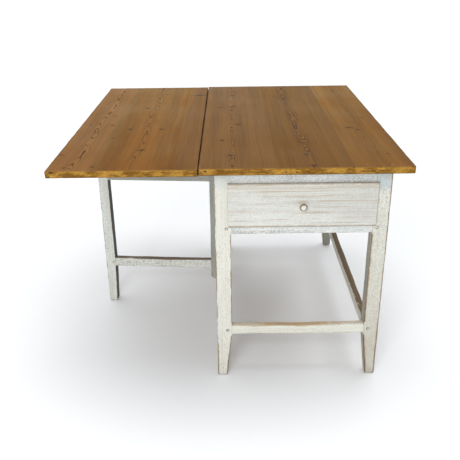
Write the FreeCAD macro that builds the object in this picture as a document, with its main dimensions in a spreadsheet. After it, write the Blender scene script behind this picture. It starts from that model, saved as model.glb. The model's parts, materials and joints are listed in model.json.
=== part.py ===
import FreeCAD, Part
import os
from types import SimpleNamespace

import Sketcher

# Drop-leaf table with one leaf, carried by a gate that swings out from the left side.
# +X is to the right, +Y away from the drawer, +Z up; the origin is on the floor under the middle.
# All sizes are in millimetres, the gate's angle in degrees.
sizes = {
    # top
    "table_height": 750,
    "end_overhang": 54,
    "top_thickness": 21,
    "left_overhang": 42,
    "right_overhang": 48,
    "leaf_width": 431,
    "seam_gap": 3,
    "right_board_width": 170,
    "middle_board_width": 220,
    "leaf_inner_width": 67,
    "leaf_middle_width": 218,
    "top_corner_round": 8,
    "top_edge_round": 2,
    # frame
    "frame_width": 524,
    "frame_length": 1024,
    "leg_size": 48,
    "foot_size": 31,
    "arris_round": 2,
    "rail_setback": 1,
    "rail_thickness": 22,
    "rail_round": 1.5,
    "apron_height": 206,
    "drawer_rail_height": 34,
    "top_rail_height": 51,
    "hinge_setback": 12,
    "stretcher_bottom": 160,
    "stretcher_height": 36,
    "stretcher_thickness": 23,
    "stretcher_setback": 1,
    "stretcher_round": 4,
    "right_stretcher_setback": 23,
    # joints of the frame
    "tenon_gap": 3.5,
    "tenon_thickness": 9,
    "tenon_shoulder": 7,
    "tenon_fit": 0.2,
    "mortise_spare": 0.8,
    "peg_diameter": 7,
    "peg_inset": 14,
    "peg_proud": 1,
    "peg_overrun": 1,
    "peg_fit": 0.05,
    "apron_peg_inset": 50,
    # drawer
    "lip_overlap": 9.5,
    "lip_thickness": 9,
    "lip_round": 4,
    "lip_corner_round": 5,
    "lip_gap": 0.3,
    "tongue_thickness": 13,
    "drawer_side_gap": 1.5,
    "drawer_run_gap": 0.3,
    "drawer_top_gap": 3,
    "drawer_side_thickness": 12,
    "drawer_side_length": 540,
    "drawer_back_thickness": 12,
    "drawer_back_inset": 10,
    "drawer_back_drop": 8,
    "drawer_bottom_thickness": 8,
    "drawer_bottom_rise": 8,
    "groove_depth": 5,
    "groove_fit": 0.2,
    "tail_length": 10,
    "tail_gap": 7,
    "tail_flare": 3,
    "tail_margin": 14,
    "knob_diameter": 23,
    "knob_length": 20,
    "knob_head_length": 8,
    "knob_head_flat": 1,
    "knob_flare_length": 5,
    "knob_neck_diameter": 12,
    "knob_base_diameter": 17,
    "knob_base_thickness": 2,
    "knob_shank_diameter": 10,
    "knob_shank_proud": 2,
    "knob_fit": 0.05,
    # what carries the drawer
    "runner_width": 22,
    "runner_height": 24,
    "kicker_height": 22,
    "housing_depth": 6,
    "guide_height": 60,
    # buttons that hold the top down
    "button_reach": 36,
    "button_width": 40,
    "button_height": 20,
    "button_tongue_length": 8,
    "button_tongue_rise": 2,
    "button_tongue_drop": 10,
    "button_fit": 0.3,
    "side_button_spacing": 330,
    "back_button_spacing": 220,
    "button_screw_length": 30,
    "button_screw_inset": 21.6,
    # screws
    "screw_diameter": 4,
    "screw_head_diameter": 7.6,
    "screw_head_height": 1.8,
    "hinge_screw_length": 15,
    # hinges
    "leaf_hinge_spacing": 720,
    "leaf_plate_length": 60,
    "leaf_plate_width": 30,
    "leaf_plate_thickness": 2,
    "leaf_barrel_sink": 0.3,
    "leaf_barrel_diameter": 5,
    "leaf_pin_diameter": 2.5,
    "leaf_screw_spacing": 20,
    "leaf_screw_inset": 18,
    "leaf_recess_fit": 0.2,
    "gate_plate_length": 32,
    "gate_plate_width": 24,
    "gate_plate_thickness": 2,
    "gate_barrel_diameter": 6,
    "gate_pin_diameter": 3,
    "gate_screw_spacing": 18,
    "gate_screw_inset": 14.4,
    "gate_hinge_rise": 100,
    "barrel_clearance": 0.3,
    "knuckle_gap": 0.3,
    "pin_fit": 0.05,
    "hinge_web": 1.4,
    # gate
    "gate_pin_back": 503.5,
    "gate_ajar": 4.5,
    "gate_reach": 456,
    "gate_thickness": 38,
    "gate_leg_width": 37.5,
    "gate_foot_width": 30,
    "gate_stile_width": 33,
    "gate_stile_bottom": 116,
    "gate_stile_flat": 5,
    "gate_top_drop": 14,
    "gate_member_thickness": 24,
    "gate_member_setback": 1,
    "gate_tenon_gap": 2,
    "gate_peg_inset": 8,
    "leaf_rest_gap": 0.3,
}

doc = FreeCAD.newDocument("drop_leaf_table")
sheet = doc.addObject("Spreadsheet::Sheet", "Dims")
for row, (alias, number) in enumerate(sizes.items(), start=1):
    sheet.set(f"A{row}", alias.replace("_", " "))
    sheet.set(f"B{row}", str(number))
    sheet.setAlias(f"B{row}", alias)
doc.recompute()


class Length:
    """A size worked out from the sheet: its expression in the document and its present value."""

    def __init__(self, text, value):
        self.text = text
        self.value = value

    def __add__(self, other):
        other = as_length(other)
        return Length(f"({self.text} + {other.text})", self.value + other.value)

    def __sub__(self, other):
        other = as_length(other)
        return Length(f"({self.text} - {other.text})", self.value - other.value)

    def __mul__(self, factor):
        return Length(f"({self.text} * {factor})", self.value * factor)

    def __truediv__(self, divisor):
        return Length(f"({self.text} / {divisor})", self.value / divisor)

    def __neg__(self):
        return Length(f"(0 - {self.text})", -self.value)


def as_length(number):
    if isinstance(number, Length):
        return number
    return Length(f"({number})", float(number))


s = SimpleNamespace(**{alias: Length(f"Dims.{alias}", float(getattr(sheet, alias))) for alias in sizes})
zero = as_length(0)
nodes = []

# Planes and lines of the table, from the driving dimensions.
top_length = s.frame_length + s.end_overhang * 2
fixed_width = s.left_overhang + s.frame_width + s.right_overhang
total_width = fixed_width + s.seam_gap + s.leaf_width
fixed_right = total_width / 2
fixed_left = fixed_right - fixed_width
leaf_right = fixed_left - s.seam_gap
leaf_left = -fixed_right
top_front = -(top_length / 2)
underside = s.table_height - s.top_thickness
leaf_underside = underside - s.leaf_plate_thickness
leaf_plate_offset = s.leaf_barrel_diameter / 2 - s.leaf_barrel_sink
frame_right = fixed_right - s.right_overhang
frame_left = frame_right - s.frame_width
frame_back = s.frame_length / 2
frame_front = -frame_back
inner_left = frame_left + s.leg_size
inner_right = frame_right - s.leg_size
inner_front = frame_front + s.leg_size
inner_back = frame_back - s.leg_size
middle_x = (frame_left + frame_right) / 2
opening_width = s.frame_width - s.leg_size * 2
side_span = s.frame_length - s.leg_size * 2
apron_bottom = underside - s.apron_height
drawer_rail_top = apron_bottom + s.drawer_rail_height
opening_top = underside - s.top_rail_height
stretcher_middle = s.stretcher_bottom + s.stretcher_height / 2
hinge_face = frame_left + s.hinge_setback
apron_left_inner = hinge_face + s.rail_thickness
apron_right_inner = frame_right - s.rail_setback - s.rail_thickness
apron_back_inner = frame_back - s.rail_setback - s.rail_thickness
rail_back_face = frame_front + s.rail_setback + s.rail_thickness


def bind(thing, **lengths):
    for name, length in lengths.items():
        thing.setExpression(name, as_length(length).text)
    return thing


def place(thing, x, y, z, axis=(0, 0, 1), angle=0):
    """Put a piece at a bound position, turned about an axis by a bound angle."""
    angle = as_length(angle)
    turn = FreeCAD.Rotation(FreeCAD.Vector(*axis), angle.value)
    thing.Placement = FreeCAD.Placement(FreeCAD.Vector(), turn)
    for name, length in zip("xyz", (x, y, z)):
        thing.setExpression(f"Placement.Base.{name}", as_length(length).text)
    if angle.value:
        thing.setExpression("Placement.Rotation.Angle", angle.text)
    return thing


def box(name, low, size):
    solid = doc.addObject("Part::Box", name)
    bind(solid, Length=size[0], Width=size[1], Height=size[2])
    return place(solid, *low)


def centred_box(name, centre, size):
    low = [as_length(middle) - as_length(extent) / 2 for middle, extent in zip(centre, size)]
    return box(name, low, size)


# The turn that points a piece's own +Z along each direction.
turns = {
    "+x": ((0, 1, 0), 90),
    "-x": ((0, -1, 0), 90),
    "+y": ((-1, 0, 0), 90),
    "-y": ((1, 0, 0), 90),
    "+z": ((0, 0, 1), 0),
}


def cylinder(name, start, direction, diameter, length):
    solid = doc.addObject("Part::Cylinder", name)
    bind(solid, Radius=diameter / 2, Height=length)
    axis, angle = turns[direction]
    return place(solid, *start, axis=axis, angle=angle)


def screw(name, start, direction, length):
    """A countersunk screw: a cone for the head, a plain shank."""
    head = doc.addObject("Part::Cone", name + "_head")
    bind(head, Radius1=s.screw_head_diameter / 2, Radius2=s.screw_diameter / 2, Height=s.screw_head_height)
    axis, angle = turns[direction]
    place(head, *start, axis=axis, angle=angle)
    shank = cylinder(name + "_shank", start, direction, s.screw_diameter, length)
    return fuse(name, [head, shank])


def fuse(name, pieces):
    if len(pieces) == 1:
        return pieces[0]
    joined = doc.addObject("Part::MultiFuse", name)
    joined.Shapes = pieces
    return joined


def cut(name, base, tools):
    left = doc.addObject("Part::Cut", name)
    left.Base = base
    left.Tool = fuse(name + "_tools", tools)
    return left


def group(name, pieces):
    together = doc.addObject("Part::Compound", name)
    together.Links = pieces
    return together


def node(thing, label):
    thing.Label = label
    nodes.append(thing)
    return thing


def origin_feature(body, role):
    return [feature for feature in body.Origin.OriginFeatures if feature.Role == role][0]


def outline(body, name, plane, corners):
    """A closed sketch of straight sides through corners whose places are bound."""
    sketch = body.newObject("Sketcher::SketchObject", name)
    sketch.AttachmentSupport = [(origin_feature(body, plane), "")]
    sketch.MapMode = "FlatFace"
    corners = [(as_length(u), as_length(v)) for u, v in corners]
    points = [FreeCAD.Vector(u.value, v.value, 0) for u, v in corners]
    for start, end in zip(points, points[1:] + points[:1]):
        sketch.addGeometry(Part.LineSegment(start, end), False)
    for side in range(len(points)):
        following = (side + 1) % len(points)
        sketch.addConstraint(Sketcher.Constraint("Coincident", side, 2, following, 1))
    for side, (u, v) in enumerate(corners):
        fix_corner(sketch, side, "DistanceX", -2, u)
        fix_corner(sketch, side, "DistanceY", -1, v)
    return sketch


def fix_corner(sketch, side, kind, axis, length):
    """Bind one coordinate of a side's first corner; a plain zero puts it on the axis."""
    if length is zero:
        sketch.addConstraint(Sketcher.Constraint("PointOnObject", side, 1, axis))
        return
    number = sketch.addConstraint(Sketcher.Constraint(kind, -1, 1, side, 1, length.value))
    sketch.setExpression(f"Constraints[{number}]", length.text)


def rectangle(low_u, low_v, high_u, high_v):
    return [(low_u, low_v), (high_u, low_v), (high_u, high_v), (low_u, high_v)]


def pad(body, sketch, length, side="One side", reverse=False):
    feature = body.newObject("PartDesign::Pad", sketch.Name + "_pad")
    feature.Profile = sketch
    feature.SideType = side
    feature.Reversed = reverse
    bind(feature, Length=length)
    body.Tip = feature
    doc.recompute()
    return feature


def pocket_through(body, sketch):
    feature = body.newObject("PartDesign::Pocket", sketch.Name + "_pocket")
    feature.Profile = sketch
    feature.Type = "ThroughAll"
    feature.SideType = "Symmetric"
    body.Tip = feature
    doc.recompute()
    return feature


def round_edges(body, name, base, radius, wanted):
    """Round the edges of the base feature that the test wanted picks."""
    names = [f"Edge{i}" for i, edge in enumerate(base.Shape.Edges, start=1) if wanted(edge)]
    feature = body.newObject("PartDesign::Fillet", name)
    feature.Base = (base, names)
    bind(feature, Radius=radius)
    body.Tip = feature
    doc.recompute()
    return feature


same_place = 1e-4
upright_share = 0.9


def near(a, b):
    return abs(a - b) < same_place


def rises(edge):
    """True for an upright edge and for the slightly leaning ones of a taper."""
    return edge.BoundBox.ZLength > edge.Length * upright_share


def runs_along(edge, axis):
    """True for a straight edge along X (0), Y (1) or Z (2)."""
    ends = [vertex.Point for vertex in edge.Vertexes]
    if len(ends) < 2:
        return False
    way = ends[1] - ends[0]
    return near(abs(way[axis]), way.Length) and near(edge.Length, way.Length)


# Top: boards that run from front to back.
def board(label, left, width, low, left_shows, right_shows, tools):
    """One board; its ends are eased, and each side that shows, with round corners on the outer ones."""
    body = doc.addObject("PartDesign::Body", label + "_blank")
    sketch = outline(body, label + "_outline", "XY_Plane", rectangle(zero, zero, width, top_length))
    blank = pad(body, sketch, s.top_thickness)
    bounds = blank.Shape.BoundBox
    sides = ((bounds.XMin, left_shows), (bounds.XMax, right_shows))
    glued = [x for x, shows in sides if not shows]
    outer = [x for x, shows in sides if shows == "outer"]
    if outer:
        blank = round_edges(
            body, label + "_corners", blank, s.top_corner_round,
            lambda edge: runs_along(edge, 2) and any(near(edge.Vertexes[0].X, x) for x in outer))

    def eased(edge):
        ends = [vertex.Point for vertex in edge.Vertexes]
        level = near(ends[0].z, ends[-1].z)
        on_joint = any(all(near(end.x, x) for end in ends) for x in glued)
        return level and not on_joint

    round_edges(body, label + "_edges", blank, s.top_edge_round, eased)
    place(body, left, top_front, low)
    return node(cut(label, body, tools) if tools else body, label)


# Hinges: a plate with its share of the knuckles, in a frame whose Z is the pin's axis.
leaf_hinge = SimpleNamespace(
    length=s.leaf_plate_length, width=s.leaf_plate_width, thickness=s.leaf_plate_thickness,
    offset=leaf_plate_offset, barrel=s.leaf_barrel_diameter, pin=s.leaf_pin_diameter,
    inset=s.leaf_screw_inset, spacing=s.leaf_screw_spacing, screw_places=(-1, 0, 1))
gate_hinge = SimpleNamespace(
    length=s.gate_plate_length, width=s.gate_plate_width, thickness=s.gate_plate_thickness,
    offset=s.gate_barrel_diameter / 2 + s.barrel_clearance - s.gate_plate_thickness,
    barrel=s.gate_barrel_diameter, pin=s.gate_pin_diameter,
    inset=s.gate_screw_inset, spacing=s.gate_screw_spacing, screw_places=(-0.5, 0.5))


def hinge_screws(name, hinge, reach, side):
    """The screws of a plate, in a row along the pin, with their heads flush with the plate."""
    direction = "+y" if side > 0 else "-y"
    screws = []
    for i, step in enumerate(hinge.screw_places):
        start = (hinge.inset * reach, hinge.offset * side, hinge.spacing * step)
        screws.append(screw(f"{name}_{i}", start, direction, s.hinge_screw_length))
    return group(name, screws)


def hinge_plate(name, hinge, reach, side, keeps_middle):
    """Plate out to X (reach +1 or -1), on the +Y or -Y side of the pin, with its knuckles and screws."""
    low_z = -(hinge.length / 2)
    back = hinge.offset + hinge.thickness
    plate_x = zero if reach > 0 else -hinge.width
    plate_y = hinge.offset if side > 0 else -back
    plate = box(name + "_plate", (plate_x, plate_y, low_z), (hinge.width, hinge.thickness, hinge.length))
    web_x = zero if reach > 0 else -s.hinge_web
    web_y = zero if side > 0 else -back
    web = box(name + "_web", (web_x, web_y, low_z), (s.hinge_web, back, hinge.length))
    barrel = cylinder(name + "_barrel", (zero, zero, low_z), "+z", hinge.barrel, hinge.length)
    bore = cylinder(name + "_bore", (zero, zero, low_z), "+z", hinge.pin + s.pin_fit * 2, hinge.length)
    half_room = hinge.barrel / 2 + s.barrel_clearance
    notch_plan = (half_room * 2, (half_room + back) * 2)
    third = hinge.length / 3
    if keeps_middle:
        heights = [(-third, third + s.knuckle_gap), (third, third + s.knuckle_gap)]
    else:
        heights = [(zero, third + s.knuckle_gap)]
    notches = [
        centred_box(f"{name}_notch_{i}", (zero, zero, middle), (*notch_plan, height))
        for i, (middle, height) in enumerate(heights)]
    screw_holes = hinge_screws(name + "_screw_holes", hinge, reach, side)
    whole = fuse(name + "_whole", [plate, web, barrel])
    return cut(name, whole, [bore, *notches, screw_holes]), hinge_screws(name + "_screws", hinge, reach, side)


def leaf_hinge_axis(y):
    """The leaf's hinge pins lie along Y under the middle of the seam."""
    seam_middle = fixed_left - s.seam_gap / 2
    return (seam_middle, y, leaf_underside - leaf_plate_offset)


leaf_hinge_places = {"front": -(s.leaf_hinge_spacing / 2), "back": s.leaf_hinge_spacing / 2}
fixed_plates = []
fixed_plate_screws = []
leaf_plates = []
leaf_plate_screws = []
leaf_pins = []
leaf_recesses = []
for end, y in leaf_hinge_places.items():
    axis_point = leaf_hinge_axis(y)
    for name, reach, keeps_middle, plates, screws in (
            (f"leaf_hinge_{end}_fixed", 1, False, fixed_plates, fixed_plate_screws),
            (f"leaf_hinge_{end}_moving", -1, True, leaf_plates, leaf_plate_screws)):
        plate, plate_screws = hinge_plate(name, leaf_hinge, reach, 1, keeps_middle)
        plates.append(place(plate, *axis_point, axis=(1, 0, 0), angle=90))
        screws.append(place(plate_screws, *axis_point, axis=(1, 0, 0), angle=90))
    pin_start = (axis_point[0], y - s.leaf_plate_length / 2, axis_point[2])
    leaf_pins.append(cylinder(f"leaf_pin_{end}", pin_start, "+y", s.leaf_pin_diameter, s.leaf_plate_length))
    recess_left = axis_point[0] - s.leaf_plate_width - s.leaf_recess_fit
    recess_length = s.leaf_plate_length + s.leaf_recess_fit * 2
    leaf_recesses.append(box(
        f"leaf_recess_{end}",
        (recess_left, y - recess_length / 2, leaf_underside - s.leaf_plate_thickness),
        (s.leaf_plate_width + s.leaf_recess_fit, recess_length, s.leaf_plate_thickness * 2)))

node(group("fixed_plate_pair", fixed_plates), "leaf_hinge_fixed_plates")
node(group("fixed_screw_set", fixed_plate_screws), "leaf_hinge_fixed_screws")
node(group("leaf_plate_pair", leaf_plates), "leaf_hinge_leaf_plates")
node(group("leaf_screw_set", leaf_plate_screws), "leaf_hinge_leaf_screws")
node(group("leaf_pin_pair", leaf_pins), "leaf_hinge_pins")


# Buttons: blocks screwed up into the top, each with a tongue in a slot of the apron.
button_low = underside - s.button_height
tongue_low = button_low + s.button_tongue_rise
tongue_height = s.button_height - s.button_tongue_rise - s.button_tongue_drop


def button(name, face, along, way):
    """A button whose tongue goes into an apron's inner face; way is the direction into the room."""
    across_x = way in ("+x", "-x")
    forward = way in ("+x", "+y")
    block_low = face if forward else face - s.button_reach
    tongue_start = face - s.button_tongue_length if forward else face
    side_low = along - s.button_width / 2
    screw_at = face + s.button_screw_inset if forward else face - s.button_screw_inset
    slot_start = tongue_start - s.button_fit if forward else tongue_start
    slot_depth = s.button_tongue_length + s.button_fit
    slot_low = side_low - s.button_fit
    slot_width = s.button_width + s.button_fit * 2

    def oriented(lengthwise, sideways, upright):
        return (lengthwise, sideways, upright) if across_x else (sideways, lengthwise, upright)

    block = box(
        name + "_block", oriented(block_low, side_low, button_low),
        oriented(s.button_reach, s.button_width, s.button_height))
    tongue = box(
        name + "_tongue", oriented(tongue_start, side_low, tongue_low),
        oriented(s.button_tongue_length, s.button_width, tongue_height))
    slot = box(
        name + "_slot", oriented(slot_start, slot_low, tongue_low - s.button_fit),
        oriented(slot_depth, slot_width, tongue_height + s.button_fit * 2))
    fastener = screw(
        name + "_screw", oriented(screw_at, along, button_low), "+z", s.button_screw_length)
    whole = fuse(name + "_whole", [block, tongue])
    return cut(name, whole, [fastener]), slot, fastener


button_sites = []
for step in (-1, 0, 1):
    button_sites.append((f"button_left_{step + 2}", apron_left_inner, s.side_button_spacing * step, "+x"))
    button_sites.append((f"button_right_{step + 2}", apron_right_inner, s.side_button_spacing * step, "-x"))
for side, step in (("left", -0.5), ("right", 0.5)):
    along = middle_x + s.back_button_spacing * step
    button_sites.append((f"button_back_{side}", apron_back_inner, along, "-y"))

buttons = []
button_slots = {"+x": [], "-x": [], "-y": []}
button_screws = []
for name, face, along, way in button_sites:
    block, slot, fastener = button(name, face, along, way)
    buttons.append(block)
    button_slots[way].append(slot)
    button_screws.append(fastener)
node(group("button_set", buttons), "top_buttons")
screws_into_top = node(group("button_screw_set", button_screws), "button_screws")

right_seam = fixed_right - s.right_board_width
middle_seam = right_seam - s.middle_board_width
leaf_inner_seam = leaf_right - s.leaf_inner_width
leaf_middle_seam = leaf_inner_seam - s.leaf_middle_width
top_tools = [screws_into_top]
board("fixed_board_right", right_seam, s.right_board_width, underside, "", "outer", top_tools)
board("fixed_board_middle", middle_seam, s.middle_board_width, underside, "", "", top_tools)
board(
    "fixed_board_left", fixed_left, middle_seam - fixed_left, underside, "seam", "",
    top_tools + fixed_plate_screws)
board(
    "leaf_board_inner", leaf_inner_seam, s.leaf_inner_width, leaf_underside, "", "seam",
    leaf_recesses + leaf_plate_screws)
board("leaf_board_middle", leaf_middle_seam, s.leaf_middle_width, leaf_underside, "", "", [])
board("leaf_board_outer", leaf_left, leaf_middle_seam - leaf_left, leaf_underside, "outer", "", [])


# Rails, aprons and stretchers: bars with a tenon at each end.
def bar(name, length, thickness, height, edge_round, tenon_length):
    """A bar along its own X, centred on its origin, with its long edges eased and a tenon at each end."""
    body = doc.addObject("PartDesign::Body", name)
    half_t = thickness / 2
    half_h = height / 2
    section = outline(body, name + "_section", "YZ_Plane", rectangle(-half_t, -half_h, half_t, half_h))
    blank = pad(body, section, length, "Symmetric")
    round_edges(body, name + "_edges", blank, edge_round, lambda edge: runs_along(edge, 0))
    half_t = s.tenon_thickness / 2
    half_h = height / 2 - s.tenon_shoulder
    tenon = outline(body, name + "_tenon", "YZ_Plane", rectangle(-half_t, -half_h, half_t, half_h))
    pad(body, tenon, length + tenon_length * 2, "Symmetric")
    return body


def mortise(name, along_x, centre, length, height, tenon_length):
    """The room for both of a bar's tenons, with the tenon's clearance all round."""
    reach = length + tenon_length * 2 + s.mortise_spare * 2
    thickness = s.tenon_thickness + s.tenon_fit * 2
    upright = height - s.tenon_shoulder * 2 + s.tenon_fit * 2
    plan = (reach, thickness) if along_x else (thickness, reach)
    return centred_box(name + "_mortise", centre, (*plan, upright))


def frame_bar(label, along_x, across, low, height, thickness, edge_round):
    """The blank of a bar between two legs and the room for its tenons."""
    length = opening_width if along_x else side_span
    level = low + height / 2
    centre = (middle_x, across, level) if along_x else (across, zero, level)
    body = bar(label + "_blank", length, thickness, height, edge_round, tenon_length)
    place(body, *centre, angle=0 if along_x else 90)
    mortises.append(mortise(label, along_x, centre, length, height, tenon_length))
    return body


mortises = []
tenon_length = s.leg_size - s.rail_setback - (s.rail_thickness + s.tenon_thickness) / 2 - s.tenon_gap
front_rail_y = frame_front + s.rail_setback + s.rail_thickness / 2
back_apron_y = frame_back - s.rail_setback - s.rail_thickness / 2
left_apron_x = hinge_face + s.rail_thickness / 2
right_apron_x = frame_right - s.rail_setback - s.rail_thickness / 2
front_stretcher_y = frame_front + s.stretcher_setback + s.stretcher_thickness / 2
back_stretcher_y = frame_back - s.stretcher_setback - s.stretcher_thickness / 2
left_stretcher_x = hinge_face + s.stretcher_thickness / 2
right_stretcher_x = frame_right - s.right_stretcher_setback - s.stretcher_thickness / 2
rail_form = (s.rail_thickness, s.rail_round)
stretcher_form = (s.stretcher_bottom, s.stretcher_height, s.stretcher_thickness, s.stretcher_round)
blanks = {
    "top_rail": frame_bar("top_rail", True, front_rail_y, opening_top, s.top_rail_height, *rail_form),
    "drawer_rail": frame_bar(
        "drawer_rail", True, front_rail_y, apron_bottom, s.drawer_rail_height, *rail_form),
    "apron_back": frame_bar("apron_back", True, back_apron_y, apron_bottom, s.apron_height, *rail_form),
    "apron_left": frame_bar("apron_left", False, left_apron_x, apron_bottom, s.apron_height, *rail_form),
    "apron_right": frame_bar("apron_right", False, right_apron_x, apron_bottom, s.apron_height, *rail_form),
    "stretcher_front": frame_bar("stretcher_front", True, front_stretcher_y, *stretcher_form),
    "stretcher_back": frame_bar("stretcher_back", True, back_stretcher_y, *stretcher_form),
    "stretcher_left": frame_bar("stretcher_left", False, left_stretcher_x, *stretcher_form),
    "stretcher_right": frame_bar("stretcher_right", False, right_stretcher_x, *stretcher_form),
}


# Pegs: driven through the legs and the tenons from the outside of each face.
def peg(name, start, direction, depth):
    """A peg that stands a little proud of the face at start, and the hole that it fills."""
    sign = 1 if direction[0] == "+" else -1
    spot = "xyz".index(direction[1])
    outside = list(start)
    outside[spot] = outside[spot] - s.peg_proud * sign
    pin = cylinder(name, outside, direction, s.peg_diameter, depth + s.peg_proud)
    hole = cylinder(
        name + "_hole", outside, direction, s.peg_diameter + s.peg_fit * 2, depth + s.peg_proud + s.peg_fit)
    return pin, hole


apron_peg_levels = (apron_bottom + s.apron_peg_inset, underside - s.apron_peg_inset)
drawer_rail_level = apron_bottom + s.drawer_rail_height / 2
rail_peg_depth = s.rail_setback + (s.rail_thickness + s.tenon_thickness) / 2 + s.peg_overrun
stretcher_half = (s.stretcher_thickness + s.tenon_thickness) / 2 + s.peg_overrun
left_peg_depth = s.hinge_setback + (s.rail_thickness + s.tenon_thickness) / 2 + s.peg_overrun
across_places = (inner_left - s.peg_inset, inner_right + s.peg_inset)
along_places = (inner_front - s.peg_inset, inner_back + s.peg_inset)
peg_rows = {
    "pegs_front": [
        ("drawer_rail", "+y", frame_front, across_places, (drawer_rail_level,), rail_peg_depth),
        ("stretcher_front", "+y", frame_front, across_places, (stretcher_middle,),
         s.stretcher_setback + stretcher_half)],
    "pegs_back": [
        ("apron_back", "-y", frame_back, across_places, apron_peg_levels, rail_peg_depth),
        ("stretcher_back", "-y", frame_back, across_places, (stretcher_middle,),
         s.stretcher_setback + stretcher_half)],
    "pegs_left": [
        ("apron_left", "+x", frame_left, along_places, apron_peg_levels, left_peg_depth),
        ("stretcher_left", "+x", frame_left, along_places, (stretcher_middle,),
         s.hinge_setback + stretcher_half)],
    "pegs_right": [
        ("apron_right", "-x", frame_right, along_places, apron_peg_levels, rail_peg_depth),
        ("stretcher_right", "-x", frame_right, along_places, (stretcher_middle,),
         s.right_stretcher_setback + stretcher_half)],
}
peg_holes = {label: [] for label in blanks}
for label, rows in peg_rows.items():
    pegs = []
    for bar_label, direction, face, places, levels, depth in rows:
        for along in places:
            for level in levels:
                start = (along, face, level) if direction[1] == "y" else (face, along, level)
                pin, hole = peg(f"{label}_{len(pegs)}", start, direction, depth)
                pegs.append(pin)
                peg_holes[bar_label].append(hole)
    node(group(label + "_set", pegs), label)


# Legs: square, tapered on the two inner faces below the stretchers.
def leg(label, x, y, angle, cavities):
    body = doc.addObject("PartDesign::Body", label + "_blank")
    square = outline(body, label + "_square", "XY_Plane", rectangle(zero, zero, s.leg_size, s.leg_size))
    blank = pad(body, square, underside)
    for plane in ("XZ_Plane", "YZ_Plane"):
        wedge = [(s.leg_size, s.stretcher_bottom), (s.foot_size, zero), (s.leg_size, zero)]
        blank = pocket_through(body, outline(body, f"{label}_taper_{plane[:2]}", plane, wedge))
    round_edges(body, label + "_arrises", blank, s.arris_round, rises)
    place(body, x, y, zero, angle=angle)
    return node(cut(label, body, [cavities]), label)


cavities = fuse("leg_cavities", mortises + [hole for holes in peg_holes.values() for hole in holes])
leg("leg_front_left", frame_left, frame_front, 0, cavities)
leg("leg_front_right", frame_right, frame_front, 90, cavities)
leg("leg_back_right", frame_right, frame_back, 180, cavities)
leg("leg_back_left", frame_left, frame_back, 270, cavities)


# What carries, guides and keeps down the drawer, housed in the front rails and the back apron.
def drawer_strip(name, side, low, height):
    left = inner_left if side == "left" else inner_right - s.runner_width
    start = rail_back_face - s.housing_depth
    length = apron_back_inner + s.housing_depth - start
    return box(name, (left, start, low), (s.runner_width, length, height))


runner_low = drawer_rail_top - s.runner_height
runners = []
kickers = []
guide_faces = {"left": (apron_left_inner, inner_left), "right": (inner_right, apron_right_inner)}
for side, (low_x, high_x) in guide_faces.items():
    runner = drawer_strip(f"runner_{side}_bar", side, runner_low, s.runner_height)
    kicker = drawer_strip(f"kicker_{side}_bar", side, opening_top, s.kicker_height)
    guide = box(
        f"guide_{side}_bar", (low_x, inner_front, runner_low), (high_x - low_x, side_span, s.guide_height))
    runners.append(node(runner, f"runner_{side}"))
    kickers.append(node(kicker, f"kicker_{side}"))
    node(guide, f"guide_{side}")


# Gate hinges: pins upright beside the left apron and stretcher.
gate_pin_x = hinge_face - s.gate_barrel_diameter / 2 - s.barrel_clearance
gate_pin_y = frame_front + s.gate_pin_back
gate_hinge_levels = {"upper": apron_bottom + s.gate_hinge_rise, "lower": stretcher_middle}
frame_plates = []
frame_plate_screws = {}
gate_plates = []
gate_plate_screws = []
gate_pins = []
for level_name, level in gate_hinge_levels.items():
    plate, screws = hinge_plate(f"gate_hinge_{level_name}_frame", gate_hinge, 1, 1, False)
    frame_plates.append(place(plate, gate_pin_x, gate_pin_y, level, axis=(0, 0, -1), angle=90))
    frame_plate_screws[level_name] = place(screws, gate_pin_x, gate_pin_y, level, axis=(0, 0, -1), angle=90)
    plate, screws = hinge_plate(f"gate_hinge_{level_name}_gate", gate_hinge, 1, -1, True)
    ajar_turn = s.gate_ajar + 90
    gate_plates.append(place(plate, gate_pin_x, gate_pin_y, level, axis=(0, 0, -1), angle=ajar_turn))
    gate_plate_screws.append(place(screws, gate_pin_x, gate_pin_y, level, axis=(0, 0, -1), angle=ajar_turn))
    pin_start = (gate_pin_x, gate_pin_y, level - s.gate_plate_length / 2)
    pin = cylinder(f"gate_pin_{level_name}", pin_start, "+z", s.gate_pin_diameter, s.gate_plate_length)
    gate_pins.append(pin)
node(group("gate_frame_plate_pair", frame_plates), "gate_hinge_frame_plates")
node(group("gate_frame_screw_set", list(frame_plate_screws.values())), "gate_hinge_frame_screws")
node(group("gate_plate_pair", gate_plates), "gate_hinge_gate_plates")
node(group("gate_screw_set", gate_plate_screws), "gate_hinge_gate_screws")
node(group("gate_pin_pair", gate_pins), "gate_hinge_pins")

# The bars of the frame, with their peg holes, housings, slots and screw holes.
bar_tools = {
    "top_rail": kickers,
    "drawer_rail": peg_holes["drawer_rail"] + runners,
    "apron_back": peg_holes["apron_back"] + runners + kickers + button_slots["-y"],
    "apron_left": peg_holes["apron_left"] + button_slots["+x"] + [frame_plate_screws["upper"]],
    "apron_right": peg_holes["apron_right"] + button_slots["-x"],
    "stretcher_front": peg_holes["stretcher_front"],
    "stretcher_back": peg_holes["stretcher_back"],
    "stretcher_left": peg_holes["stretcher_left"] + [frame_plate_screws["lower"]],
    "stretcher_right": peg_holes["stretcher_right"],
}
for label, tools in bar_tools.items():
    node(cut(label, blanks[label], tools), label)


# Gate: built with its pin at the origin, its length along +X and its front towards +Y, then swung out.
def swing(thing):
    return place(thing, gate_pin_x, gate_pin_y, zero, angle=-s.gate_ajar + 180)


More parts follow.
